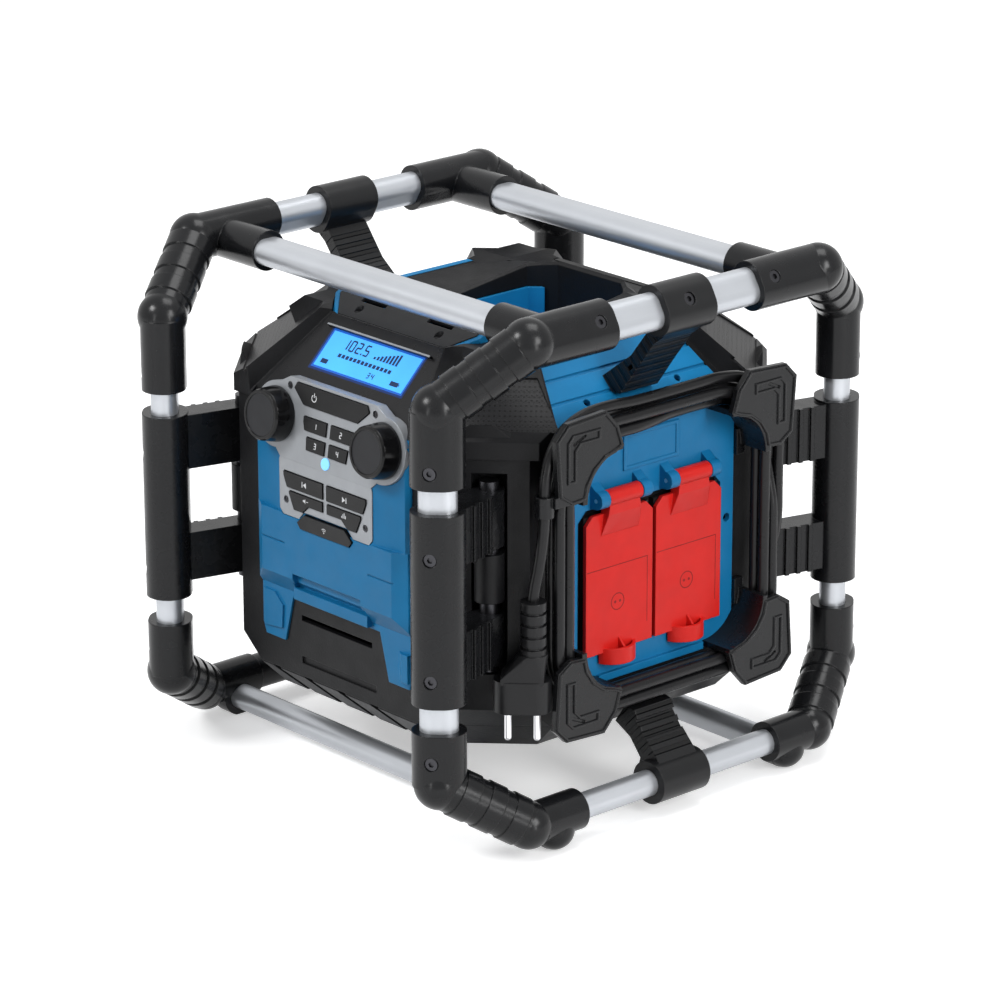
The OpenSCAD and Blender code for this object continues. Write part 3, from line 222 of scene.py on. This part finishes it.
def strap_material():
    """Black moulding with ribs across the straps between the clamps and the box, the grooves
    between the ribs darkened as painted shade.
    """
    s = Shader("ribbed_strap", (0.0075, 0.0078, 0.0086), 0.32)
    split = s.node("ShaderNodeSeparateXYZ")
    s.link(s.coord, split.inputs[0])

    def math_node(operation, a, b=0.0):
        n = s.node("ShaderNodeMath", operation=operation)
        for i, v in enumerate((a, b)):
            if isinstance(v, float):
                n.inputs[i].default_value = v
            else:
                s.link(v, n.inputs[i])
        return n.outputs[0]

    across = math_node("ABSOLUTE", split.outputs["X"])
    height = math_node("ABSOLUTE", math_node("SUBTRACT", split.outputs["Z"], MID_Z))
    along = math_node("ADD", across, height)
    wave = math_node("SINE", math_node("MULTIPLY", along, 2 * math.pi / RIB_PITCH))
    rib = s.remap(wave, 0.0, 1.0, -0.5, 0.1)
    on_strap = math_node("LESS_THAN", height, CLAMP_Z)
    rib = math_node("MAXIMUM", rib, math_node("SUBTRACT", 1.0, on_strap))
    # Painted shade: the colour falls to 0.35 of the black in the grooves between ribs.
    mix = s.node("ShaderNodeVectorMath", operation="SCALE")
    mix.inputs[0].default_value = s.color[:3]
    s.link(s.remap(rib, 0.35, 1.0, 0, 1), mix.inputs["Scale"])
    s.link(mix.outputs[0], s.bsdf.inputs["Base Color"])
    s.vary_rough(0.04)
    s.surface(rib, RIB_DEPTH, 0.0012)
    return s.mat


MAT["strap"] = strap_material()


def aluminium(name, color, rough, stretch, metallic=1.0):
    """Metal with fine streaks; stretch is small along the direction of the streaks."""
    s = Shader(name, color, rough, metallic=metallic)
    streaks = s.noise(900, 4.0, stretch)
    s.vary_rough(0.03, 900, stretch)
    s.mottle(0.03, 30)
    s.surface(streaks, 0.000003)
    return s.mat


MAT["tube_x"] = aluminium("brushed_tube_x", (0.50, 0.52, 0.55), 0.36, (0.02, 1, 1), 0.7)
MAT["tube_y"] = aluminium("brushed_tube_y", (0.48, 0.50, 0.53), 0.36, (1, 0.02, 1), 0.7)
MAT["tube_z"] = aluminium("brushed_tube_z", (0.50, 0.52, 0.55), 0.36, (1, 1, 0.02), 0.7)
MAT["pin"] = aluminium("plain_steel", (0.52, 0.52, 0.54), 0.30, (1, 1, 0.1))
MAT["dark_steel"] = aluminium("black_steel", (0.05, 0.05, 0.055), 0.35, (1, 1, 1))


def silver_paint():
    """Satin silver paint on plastic."""
    s = Shader("silver_paint", (0.33, 0.345, 0.365), 0.36, metallic=0.35)
    s.mottle(0.04, 80)
    s.vary_rough(0.04)
    s.surface(s.noise(1500, 2.0), 0.00003, 0.0006)
    return s.mat


MAT["silver"] = silver_paint()


def perforated():
    """Black sheet with a close pattern of small round holes, painted black inside as painted shade
    and pressed in by a bump.
    """
    s = Shader("grille_sheet", (0.013, 0.013, 0.014), 0.42)
    cells = s.node("ShaderNodeTexVoronoi", Scale=420.0, Randomness=0.0)
    s.link(s.coord, cells.inputs["Vector"])
    hole = s.remap(cells.outputs["Distance"], 0.0, 1.0, 0.30, 0.36)
    # Painted shade: the holes are not cut; the colour falls to black inside each one.
    mix = s.node("ShaderNodeVectorMath", operation="SCALE")
    mix.inputs[0].default_value = (0.009, 0.009, 0.010)
    s.link(hole, mix.inputs["Scale"])
    s.link(mix.outputs[0], s.bsdf.inputs["Base Color"])
    s.surface(hole, 0.0004)
    return s.mat


MAT["grille"] = perforated()


def glowing(name, color, strength, vary):
    """Surface lit from behind, its colour a little uneven."""
    s = Shader(name, color, 0.25)
    shade = s.mottle(vary, 25, "Emission Color")
    s.link(shade, s.bsdf.inputs["Base Color"])
    s.bsdf.inputs["Emission Strength"].default_value = strength
    s.surface(s.noise(1200, 2.0), 0.00001)
    return s.mat


MAT["display"] = glowing("display_glow", (0.055, 0.34, 0.86), 0.75, 0.06)
MAT["light"] = glowing("light_glow", (0.22, 0.58, 1.0), 0.62, 0.05)
MAT["halo"] = glowing("display_edge_glow", (0.008, 0.085, 0.42), 0.55, 0.05)
MAT["halo_far"] = glowing("display_far_glow", (0.004, 0.022, 0.11), 0.35, 0.05)
MAT["pixel"] = moulded("display_pixels", (0.008, 0.03, 0.10), 0.4, 900, 0.00001, 0.0, 0.05).mat

# ---- pieces --------------------------------------------------------------------------------

NODE_LOOK = {
    "top_cross_tubes": "tube_x", "top_side_tubes": "tube_y", "bottom_tubes": "tube_x",
    "post_tubes": "tube_z", "tube_clamps_top": "strap", "tube_clamps_bottom": "strap",
    "cage_screws": "dark_steel", "mount_rods": "dark_steel",
    "main_housing": "housing", "base_housing": "housing", "rear_panel": "housing",
    "front_panel": "blue", "right_panel": "blue", "left_panel": "blue",
    "top_cover": "housing", "top_bridge": "bridge", "bowl_liner": "blue",
    "speaker_grilles": "grille", "display_bezel": "bezel", "display_window": "display",
    "control_fascia": "silver", "status_light": "light",
    "left_knob": "knob", "right_knob": "knob",
    "outlet_cover_a": "red", "outlet_cover_b": "red", "outlet_sockets": "socket",
    "hinge_pins": "pin", "cord_brackets": "bracket", "mains_plug": "plug",
    "battery_door": "housing", "battery_latch": "red", "port_door": "housing",
    "corner_speakers": "cone", "subwoofer": "cone", "power_unit": "board",
}
for key in nodes:
    if key.endswith("_button") or key.startswith("preset_button"):
        NODE_LOOK[key] = "key"
    elif key.startswith("corner_") and key not in NODE_LOOK:
        NODE_LOOK[key] = "black"
    elif key.startswith("post_sleeve"):
        NODE_LOOK[key] = "pad"

for key, look in NODE_LOOK.items():
    obj = nodes[key]
    obj.data.materials.clear()
    obj.data.materials.append(MAT[look])


def add(name, mesh_or_curve, look, body="frame"):
    """New piece that rides on a body of the part."""
    obj = bpy.data.objects.new(name, mesh_or_curve)
    mesh_or_curve.materials.append(MAT[look])
    scene.collection.objects.link(obj)
    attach(obj, body)
    return obj


# ---- the wound lead --------------------------------------------------------------------------

# All lengths of the lead are in millimetres.
LEAD_D = 7.8
ARC_Y, ARC_Z, WIND_Z = 50, 51, -4       # centres of the winding's corner arcs, and its middle
RUN_Y, RUN_Z = 2 * ARC_Y, 2 * ARC_Z     # its straight runs
QUARTER = 68.0                          # length of a corner arc, measured on the middle layer
LOOP = 4 * QUARTER + 2 * RUN_Y + 2 * RUN_Z
# The lead leaves the housing past the rear run, an arc, the top run and 40 mm of the next arc.
EXIT_D = RUN_Z + QUARTER + RUN_Y + 40
# x and corner radius of each turn, and where the lead steps to the next one: (start, length).
LAYER = [(155, 39.2), (163, 39.2), (163, 47.2), (155, 47.2), (159, 55.4)]
STEPS = [(LOOP + 204, 48), (2 * LOOP + 106, 84), (3 * LOOP + 52, 48), (4 * LOOP + 2, 48)]
EXIT_DEPTH, EXIT_LENGTH = 10.5, 62      # the start lies this much deeper, and rises over this
WOUND_POINTS = 150
# The free end, over the top of the winding and down through the guide ring to the plug.
TAIL = [(160, 30, 103), (160, 0, 102.8), (160, -30, 103), (160, -56, 104.5),
        (160, -76, 102.5), (160.5, -93, 95), (161.5, -104, 82), (162.3, -109, 67),
        (162.5, -110, 50), (162.5, -110.5, 38), (162, -111.5, 24), (160.8, -113.3, 8),
        (159.3, -115, -4), (158.3, -115.7, -14), (158.3, -115.7, -20)]


def smooth(t):
    """Eased step from 0 to 1."""
    t = min(1, max(0, t))
    return t * t * (3 - 2 * t)


def wind_point(d, x, r):
    """Point on the winding, d mm along its inner loop from the rear run's lower end, going up."""
    for stage, length in enumerate((RUN_Z, QUARTER, RUN_Y, QUARTER) * 2):
        if d <= length:
            break
        d -= length
    t = d / length
    corner = [(1, 1), (-1, 1), (-1, -1), (1, -1)][stage // 2]
    turn = math.radians(90 * (stage // 2))
    if stage % 2:
        a = turn + t * math.pi / 2
        y, z = corner[0] * ARC_Y + r * math.cos(a), corner[1] * ARC_Z + r * math.sin(a)
    else:
        y = [ARC_Y + r, ARC_Y - t * RUN_Y, -ARC_Y - r, t * RUN_Y - ARC_Y][stage // 2]
        z = [t * RUN_Z - ARC_Z, ARC_Z + r, ARC_Z - t * RUN_Z, -ARC_Z - r][stage // 2]
    return mid(x, y, z + WIND_Z)


def layer_at(s):
    """x and radius of the winding at s mm from its start, as it steps from layer to layer."""
    d = s + EXIT_D
    x, r = LAYER[0]
    for k, (start, length) in enumerate(STEPS):
        t = (d - start) / length
        last = k == len(STEPS) - 1
        # On the last step the lead moves outward first and sideways after.
        t_r, t_x = (t / 0.8, (t - 0.3) / 0.7) if last else (t, t)
        x += (LAYER[k + 1][0] - LAYER[k][0]) * smooth(t_x)
        r += (LAYER[k + 1][1] - LAYER[k][1]) * smooth(t_r)
    x -= EXIT_DEPTH * (1 - smooth(s / EXIT_LENGTH))
    return x, r


def lead_points():
    """Points of the whole lead, from the housing through four turns to the plug."""
    total = 4 * LOOP + RUN_Z + QUARTER - EXIT_D
    pts = []
    for i in range(WOUND_POINTS + 1):
        s = total * i / WOUND_POINTS
        x, r = layer_at(s)
        pts.append(wind_point((s + EXIT_D) % LOOP, x, r))
    return pts + [mid(*p) for p in TAIL]


def spline(name, pts, radius, resolution):
    """Round tube along a smooth curve through the points."""
    curve = bpy.data.curves.new(name, "CURVE")
    curve.dimensions = "3D"
    curve.bevel_depth = radius
    curve.bevel_resolution = 4
    curve.resolution_u = resolution
    line = curve.splines.new("BEZIER")
    line.bezier_points.add(len(pts) - 1)
    for i, p in enumerate(pts):
        b = line.bezier_points[i]
        before, after = pts[max(i - 1, 0)], pts[min(i + 1, len(pts) - 1)]
        heading = (after - before).normalized()
        b.co = p
        b.handle_left_type = b.handle_right_type = "FREE"
        b.handle_left = p - heading * (p - before).length / 3
        b.handle_right = p + heading * (after - p).length / 3
    curve.use_fill_caps = True
    return curve


points = lead_points()
lead = add("wound_lead", spline("wound_lead", points, LEAD_D / 2 * MM, 4), "cord")
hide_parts("cord_winding", "cord_tail")


def taper(name, at, heading, sections, look, sides=24):
    """Tube of changing radius: sections are (distance, radius) in mm along heading."""
    bm = bmesh.new()
    turn = heading.to_track_quat("Z", "Y").to_matrix()
    rings = []
    for along, r in sections:
        ring = []
        for k in range(sides):
            a = 2 * math.pi * k / sides
            ring.append(bm.verts.new(at + turn @ Vector(
                (r * MM * math.cos(a), r * MM * math.sin(a), along * MM))))
        rings.append(ring)
    for low, high in zip(rings, rings[1:]):
        for k in range(sides):
            bm.faces.new((low[k], low[(k + 1) % sides], high[(k + 1) % sides], high[k]))
    bm.faces.new(rings[0][::-1])
    bm.faces.new(rings[-1])
    mesh = bpy.data.meshes.new(name)
    bm.to_mesh(mesh)
    bm.free()
    for p in mesh.polygons:
        p.use_smooth = len(p.vertices) == 4
    return add(name, mesh, look)


taper("lead_relief", points[0] + Vector((-0.0015, 0, 0)), points[2] - points[0],
      [(0, 7.2), (5, 7), (6, 5.9), (10, 5.9), (11, 5.4), (15, 5.4), (16, 4.9), (22, 4.5)],
      "plug")

# ---- printed and pressed details, with painted highlight and painted shade -------------------


class Face:
    """A flat face of the object: where its zero lies and which way right and up run on it."""

    def __init__(self, origin, up, right=(1, 0, 0), body="frame"):
        self.origin, self.body = mid(*origin), body
        self.right, self.up = Vector(right), Vector(up)
        self.out = self.right.cross(self.up)

    def point(self, u, v, lift):
        return self.origin + (self.right * u + self.up * v + self.out * lift) * MM


def sheet(name, face, outlines, lift, look, body=None):
    """Thin print, and in places painted highlight or painted shade: every outline is one face laid
    lift mm above the face.
    """
    bm = bmesh.new()
    for outline in outlines:
        bm.faces.new([bm.verts.new(face.point(u, v, lift)) for u, v in outline])
    mesh = bpy.data.meshes.new(name)
    bm.to_mesh(mesh)
    bm.free()
    return add(name, mesh, look, body or face.body)


def bar(u, v, w, h):
    """Rectangle w by h around (u, v)."""
    return [(u - w / 2, v - h / 2), (u + w / 2, v - h / 2), (u + w / 2, v + h / 2),
            (u - w / 2, v + h / 2)]


def arc(u, v, r, width, start=0, end=360, steps=28):
    """A ring or part of one, as four-sided pieces."""
    quads = []
    for k in range(steps):
        a, b = (math.radians(start + (end - start) * (k + i) / steps) for i in (0, 1))
        lo, hi = r - width / 2, r + width / 2
        quads.append([(u + lo * math.cos(a), v + lo * math.sin(a)),
                      (u + hi * math.cos(a), v + hi * math.sin(a)),
                      (u + hi * math.cos(b), v + hi * math.sin(b)),
                      (u + lo * math.cos(b), v + lo * math.sin(b))])
    return quads


def disc(u, v, r, steps=24):
    """List with one round outline."""
    return [[(u + r * math.cos(2 * math.pi * k / steps), v + r * math.sin(2 * math.pi * k / steps))
             for k in range(steps)]]


# The bars of each figure, lettered as on a seven-bar display.
SEGMENTS = {0: "abcdef", 1: "bc", 2: "abged", 3: "abgcd", 4: "fgbc", 5: "afgcd"}


def digit(n, u, v, h, width):
    """A figure made of up to seven bars, its centre at (u, v)."""
    w, t = h * 0.5, width
    place = {"a": (0, h / 2, w, t), "g": (0, 0, w, t), "d": (0, -h / 2, w, t),
             "f": (-w / 2, h / 4, t, h / 2), "b": (w / 2, h / 4, t, h / 2),
             "e": (-w / 2, -h / 4, t, h / 2), "c": (w / 2, -h / 4, t, h / 2)}
    return [bar(u + place[k][0], v + place[k][1], place[k][2], place[k][3]) for k in SEGMENTS[n]]


# The upper and lower part of the silver fascia, and the sloping face around the display.
UPPER = Face((0, -157.5, 44.6), (0, 0.15299, 0.98823))
LOWER = Face((0, -157.5, 22), (0, 0, 1))
SLOPE = Face((0, -120.5, 111), (0, 0.70711, 0.70711))
KEY_LIFT, WIRELESS_LIFT, KNOB_LIFT = 1.08, 1.68, 14.06      # just above the tops, in mm
STROKE, THIN_STROKE = 0.65, 0.45


def key_marks():
    """Generic signs: power, four numbers, back, on, mute, levels and wireless."""
    power = arc(-17, 45.2, 2.3, STROKE, 125, 415) + [bar(-17, 47.2, STROKE, 3.0)]
    sheet("power_mark", UPPER, power, KEY_LIFT, "mark", "power_button")
    for n, (u, v) in enumerate([(-13, 27), (13, 27), (-11.4, 13.9), (11.4, 13.9)], 1):
        sheet("preset_mark_%d" % n, UPPER, digit(n, u, v, 3.6, STROKE), KEY_LIFT, "mark",
              "preset_button_%d" % n)
    for name, s in (("previous", -1), ("next", 1)):
        arrow = [(s * 18.6, 9.7), (s * 18.6, 5.7), (s * 21.8, 7.7)]
        shapes = [arrow if s < 0 else arrow[::-1], bar(s * 22.6, 7.7, 0.8, 4)]
        sheet(name + "_mark", LOWER, shapes, KEY_LIFT, "mark", name + "_button")
    speaker = [bar(-21.4, -3.4, 1.1, 1.5), [(-20.9, -3.9), (-19.4, -5.1), (-19.4, -1.7),
                                           (-20.9, -2.9)], bar(-17.6, -3.4, 2.0, 0.5)]
    sheet("mute_mark", LOWER, speaker, KEY_LIFT, "mark", "mute_button")
    levels = [bar(18 + 1.3 * k, -5.2 + h / 2, 0.7, h) for k, h in enumerate((1.4, 2.8, 3.8, 2.2))]
    sheet("level_mark", LOWER, levels, KEY_LIFT, "mark", "equalizer_button")
    waves = disc(0, -20.4, 0.55) + arc(0, -20.4, 1.6, THIN_STROKE, 40, 140, 8) \
        + arc(0, -20.4, 2.8, THIN_STROKE, 40, 140, 8)
    sheet("wireless_mark", LOWER, waves, WIRELESS_LIFT, "mark", "wireless_button")


LARGE, SMALL = (7.6, 1.2), (3.8, 0.7)       # height and stroke of the display's figures
WINDOW_HALF, WINDOW_V = (44.5, 13.75), 1.5  # half size of the display window, and its middle


def display_marks():
    """Plain figures and bars on the lit display, the glow around its window, and a painted
    highlight along the ridge above it.
    """
    figures = [bar(-9.8, 4.8, 1.3, 1.3)]
    for n, u in ((1, -27), (0, -20.5), (2, -14), (5, -6)):
        figures += digit(n, u, 8.4, *LARGE)
    figures += [bar(4 + 3.1 * k, 5.4 + 0.5 * k, 2.0, 1.8 + k) for k in range(8)]
    rows = [bar(-27 + 3.9 * k, -0.6, 2.8, 2.8) for k in range(14)]
    rows += digit(3, 8, -7.6, *SMALL) + digit(4, 12, -7.6, *SMALL)
    battery = [bar(34, -7.6, 8, 3.4), bar(38.6, -7.6, 0.8, 1.6), bar(-37, -7.6, 6.5, 3.4)]
    sheet("display_figures", SLOPE, figures + rows + battery, 0.06, "pixel")
    half_u, half_v = WINDOW_HALF
    corners = [(1, 1), (-1, 1), (-1, -1), (1, -1)]
    for name, low, high, look in (("display_glow", 0.0, 1.5, "halo"),
                                  ("display_far_glow", 1.5, 3.2, "halo_far")):
        a, b = (half_u + low, half_v + low), (half_u + high, half_v + high)
        quads = []
        for k in range(4):
            (p, q), (r, t) = corners[k], corners[(k + 1) % 4]
            quads.append([(p * a[0], q * a[1] + WINDOW_V), (p * b[0], q * b[1] + WINDOW_V),
                          (r * b[0], t * b[1] + WINDOW_V), (r * a[0], t * a[1] + WINDOW_V)])
        sheet(name, SLOPE, quads, 0.05, look)
    # Painted highlight: a thin silver strip laid on the ridge above the window, standing in for
    # the light that catches its edge.
    sheet("display_ridge_painted_highlight", SLOPE, [bar(0, 17.55, 103.4, 1.3)], 2.94, "silver")


def knob_faces():
    """Matt round inlay on the top of each knob."""
    for name, s in (("left_knob", -1), ("right_knob", 1)):
        sheet(name + "_face", UPPER, disc(s * 54.3, 26.5, 14.4, 48), KNOB_LIFT, "knob_face",
              name)


def cover_marks():
    """Socket sign, and a two-sided groove drawn as dark lines of painted shade, on each socket
    cover.
    """
    for name, s in (("outlet_cover_a", -1), ("outlet_cover_b", 1)):
        face = Face((149.9, s * 31.5, -22), (0, 0, 1), (0, 1, 0), name)
        shapes = arc(-1.5, -14.6, 5.7, 0.7) + disc(-3.7, -14.6, 1.0) + disc(0.7, -14.6, 1.0)
        # Painted shade: the groove is only these two dark lines on the flat cover.
        shapes += [bar(-2, 11, 54.6, 0.55), bar(25.3, -12, 0.55, 46)]
        sheet(name + "_mark", face, shapes, 0.05, "red_print_and_groove_shade")


def inset(outline, d):
    """Outline moved inward by d; the outline runs counter-clockwise."""
    moved = []
    for i, p in enumerate(outline):
        before, after = outline[i - 1], outline[(i + 1) % len(outline)]
        a = Vector((p[0] - before[0], p[1] - before[1])).normalized()
        b = Vector((after[0] - p[0], after[1] - p[1])).normalized()
        n = Vector((-a.y - b.y, a.x + b.x)).normalized()
        reach = d / max(0.4, n.dot(Vector((-a.y, a.x))))
        moved.append((p[0] + n.x * reach, p[1] + n.y * reach))
    return moved


RIM_WIDTH, RIM_HEIGHT, RIM_FLANK, RIM_FOOT = 2.0, 1.1, 0.4, 0.02


def raised_rim(name, face, outline, edge):
    """Low rib on a bracket that follows an outline, edge mm inside it; its flanks lean inward."""
    far = edge + RIM_WIDTH
    loops = [(inset(outline, edge), RIM_FOOT), (inset(outline, edge + RIM_FLANK), RIM_HEIGHT),
             (inset(outline, far - RIM_FLANK), RIM_HEIGHT), (inset(outline, far), RIM_FOOT)]
    bm = bmesh.new()
    rings = [[bm.verts.new(face.point(u, v, lift)) for u, v in loop] for loop, lift in loops]
    for low, high in zip(rings, rings[1:]):
        for k in range(len(low)):
            m = (k + 1) % len(low)
            bm.faces.new((low[k], low[m], high[m], high[k]))
    mesh = bpy.data.meshes.new(name)
    bm.to_mesh(mesh)
    bm.free()
    add(name, mesh, "bracket", face.body)


# Outlines of a cord bracket's plate and its raised mark, as distances from the winding's middle.
BRACKET = [(106, 60), (109, 99), (99, 109), (65, 111), (54, 99), (49, 84), (56, 81), (65, 78.5),
           (74, 72), (80, 63), (82, 54), (95, 53)]
BRACKET_MARK = [(99, 68), (99, 96), (94, 101), (70, 101), (70, 93), (87, 93), (91, 89), (91, 68)]


def bracket_ribs():
    """Raised border and raised corner mark on each of the four brackets."""
    face = Face((172, 0, WIND_Z), (0, 0, 1), (0, 1, 0))
    for a, sy in (("front", -1), ("rear", 1)):
        for b, sz in (("low", -1), ("high", 1)):
            for name, outline, edge in (("rim", BRACKET, 0.9), ("pad", BRACKET_MARK, 0)):
                points = [(sy * u, sz * v) for u, v in outline]
                if sy * sz < 0:
                    points.reverse()
                raised_rim("bracket_%s_%s_%s" % (name, a, b), face, points, edge)


def screw_heads():
    """Small screws whose six-pointed recess is a black star of painted shade: four on the fascia
    and two on the top cover.
    """
    spots = [(UPPER, s * 43.4, 48.2, -0.9, 2.3) for s in (-1, 1)]
    spots += [(LOWER, s * 40.7, -7.1, -0.9, 2.3) for s in (-1, 1)]
    spots += [(Face((s * 40.3, -92.2, 132.4), (0, 1, 0)), 0, 0, 0, 2.8) for s in (-1, 1)]
    for i, (face, u, v, lift, r) in enumerate(spots):
        star = [(u + (r * 0.5 if k % 2 else r * 0.32) * math.cos(k * math.pi / 6),
                 v + (r * 0.5 if k % 2 else r * 0.32) * math.sin(k * math.pi / 6))
                for k in range(12)]
        sheet("small_screw_%d" % i, face, disc(u, v, r), lift, "dark_steel")
        # Painted shade: the recess is a flat black star on the head, not a hollow.
        sheet("small_screw_drive_%d" % i, face, [star], lift + 0.04, "key")


bracket_ribs()
screw_heads()
key_marks()
display_marks()
knob_faces()
cover_marks()

# ---- studio --------------------------------------------------------------------------------


def area_light(name, place, target, size, power):
    """Rectangular lamp of the given size in metres and power in watts."""
    data = bpy.data.lights.new(name, "AREA")
    data.shape, data.size, data.size_y = "RECTANGLE", size[0], size[1]
    data.energy = power
    obj = bpy.data.objects.new(name, data)
    obj.location = place
    obj.rotation_euler = (Vector(target) - Vector(place)).to_track_quat("-Z", "Y").to_euler()
    scene.collection.objects.link(obj)


WORLD_LIGHT = 0.62
WORLD_LOW, WORLD_HIGH = (0.10, 0.10, 0.105, 1), (0.85, 0.86, 0.88, 1)
FLOOR_SEEN, FLOOR_LIT, FLOOR_GLOW = (0.92, 0.92, 0.92, 1), (0.22, 0.22, 0.22, 1), 0.45
WHITE = (1, 1, 1, 1)


def sees_background(tree, path):
    """1 for camera, glossy and transmission rays, which all see the white background."""
    last = path.outputs["Is Camera Ray"]
    for kind in ("Is Glossy Ray", "Is Transmission Ray"):
        either = tree.nodes.new("ShaderNodeMath")
        either.operation = "MAXIMUM"
        tree.links.new(last, either.inputs[0])
        tree.links.new(path.outputs[kind], either.inputs[1])
        last = either.outputs[0]
    return last


def set_world():
    """White to look at, and a soft light that grows from the ground to the top."""
    world = bpy.data.worlds.new("studio")
    scene.world = world
    world.use_nodes = True
    t = world.node_tree
    t.nodes.clear()
    out = t.nodes.new("ShaderNodeOutputWorld")
    seen = t.nodes.new("ShaderNodeBackground")
    seen.inputs["Color"].default_value = WHITE
    lit = t.nodes.new("ShaderNodeBackground")
    path = t.nodes.new("ShaderNodeLightPath")
    coord = t.nodes.new("ShaderNodeTexCoord")
    split = t.nodes.new("ShaderNodeSeparateXYZ")
    ramp = t.nodes.new("ShaderNodeValToRGB")
    ramp.color_ramp.elements[0].position = 0.35
    ramp.color_ramp.elements[0].color = WORLD_LOW
    ramp.color_ramp.elements[1].position = 0.95
    ramp.color_ramp.elements[1].color = WORLD_HIGH
    shift = t.nodes.new("ShaderNodeMapRange")
    shift.inputs["From Min"].default_value = -1
    mix = t.nodes.new("ShaderNodeMixShader")
    t.links.new(coord.outputs["Generated"], split.inputs[0])
    t.links.new(split.outputs["Z"], shift.inputs["Value"])
    t.links.new(shift.outputs[0], ramp.inputs[0])
    t.links.new(ramp.outputs[0], lit.inputs["Color"])
    lit.inputs["Strength"].default_value = WORLD_LIGHT
    t.links.new(sees_background(t, path), mix.inputs[0])
    t.links.new(lit.outputs[0], mix.inputs[1])
    t.links.new(seen.outputs[0], mix.inputs[2])
    t.links.new(mix.outputs[0], out.inputs[0])


def make_floor():
    """White floor that takes the object's shadow and throws little light back on it."""
    bm = bmesh.new()
    bmesh.ops.create_grid(bm, x_segments=8, y_segments=8, size=6)
    mesh = bpy.data.meshes.new("floor")
    bm.to_mesh(mesh)
    bm.free()
    s = Shader("floor_white", (0.90, 0.90, 0.90), 0.85)
    fac = s.remap(s.noise(3), 0.97, 1.0)
    mix = s.node("ShaderNodeVectorMath", operation="SCALE")
    path = s.node("ShaderNodeLightPath")
    shade = s.node("ShaderNodeMixRGB")
    shade.inputs["Color1"].default_value = FLOOR_LIT
    shade.inputs["Color2"].default_value = FLOOR_SEEN
    seen = sees_background(s.tree, path)
    s.link(seen, shade.inputs["Fac"])
    s.link(shade.outputs[0], mix.inputs[0])
    s.link(fac, mix.inputs["Scale"])
    s.link(mix.outputs[0], s.bsdf.inputs["Base Color"])
    s.bsdf.inputs["Emission Color"].default_value = WHITE
    lift = s.node("ShaderNodeMath", operation="MULTIPLY")
    lift.inputs[1].default_value = FLOOR_GLOW
    s.link(seen, lift.inputs[0])
    s.link(lift.outputs[0], s.bsdf.inputs["Emission Strength"])
    mesh.materials.append(s.mat)
    floor = bpy.data.objects.new("floor", mesh)
    floor.location.z = -0.0002
    scene.collection.objects.link(floor)


set_world()
make_floor()
area_light("key_light", (-0.6, -2.2, 2.2), (0, 0, 0.15), (1.0, 0.8), 48)
area_light("side_light", (2.6, 0.1, 1.5), (0, 0, 0.15), (0.8, 1.2), 36)
area_light("front_strip", (0.55, -2.8, 0.6), (0, 0, 0.18), (0.2, 1.6), 8)
area_light("right_strip", (2.9, -0.42, 0.6), (0, 0, 0.18), (0.3, 1.8), 20)
area_light("top_light", (0.3, 0.5, 2.6), (0, 0, 0.2), (1.3, 1.3), 30)
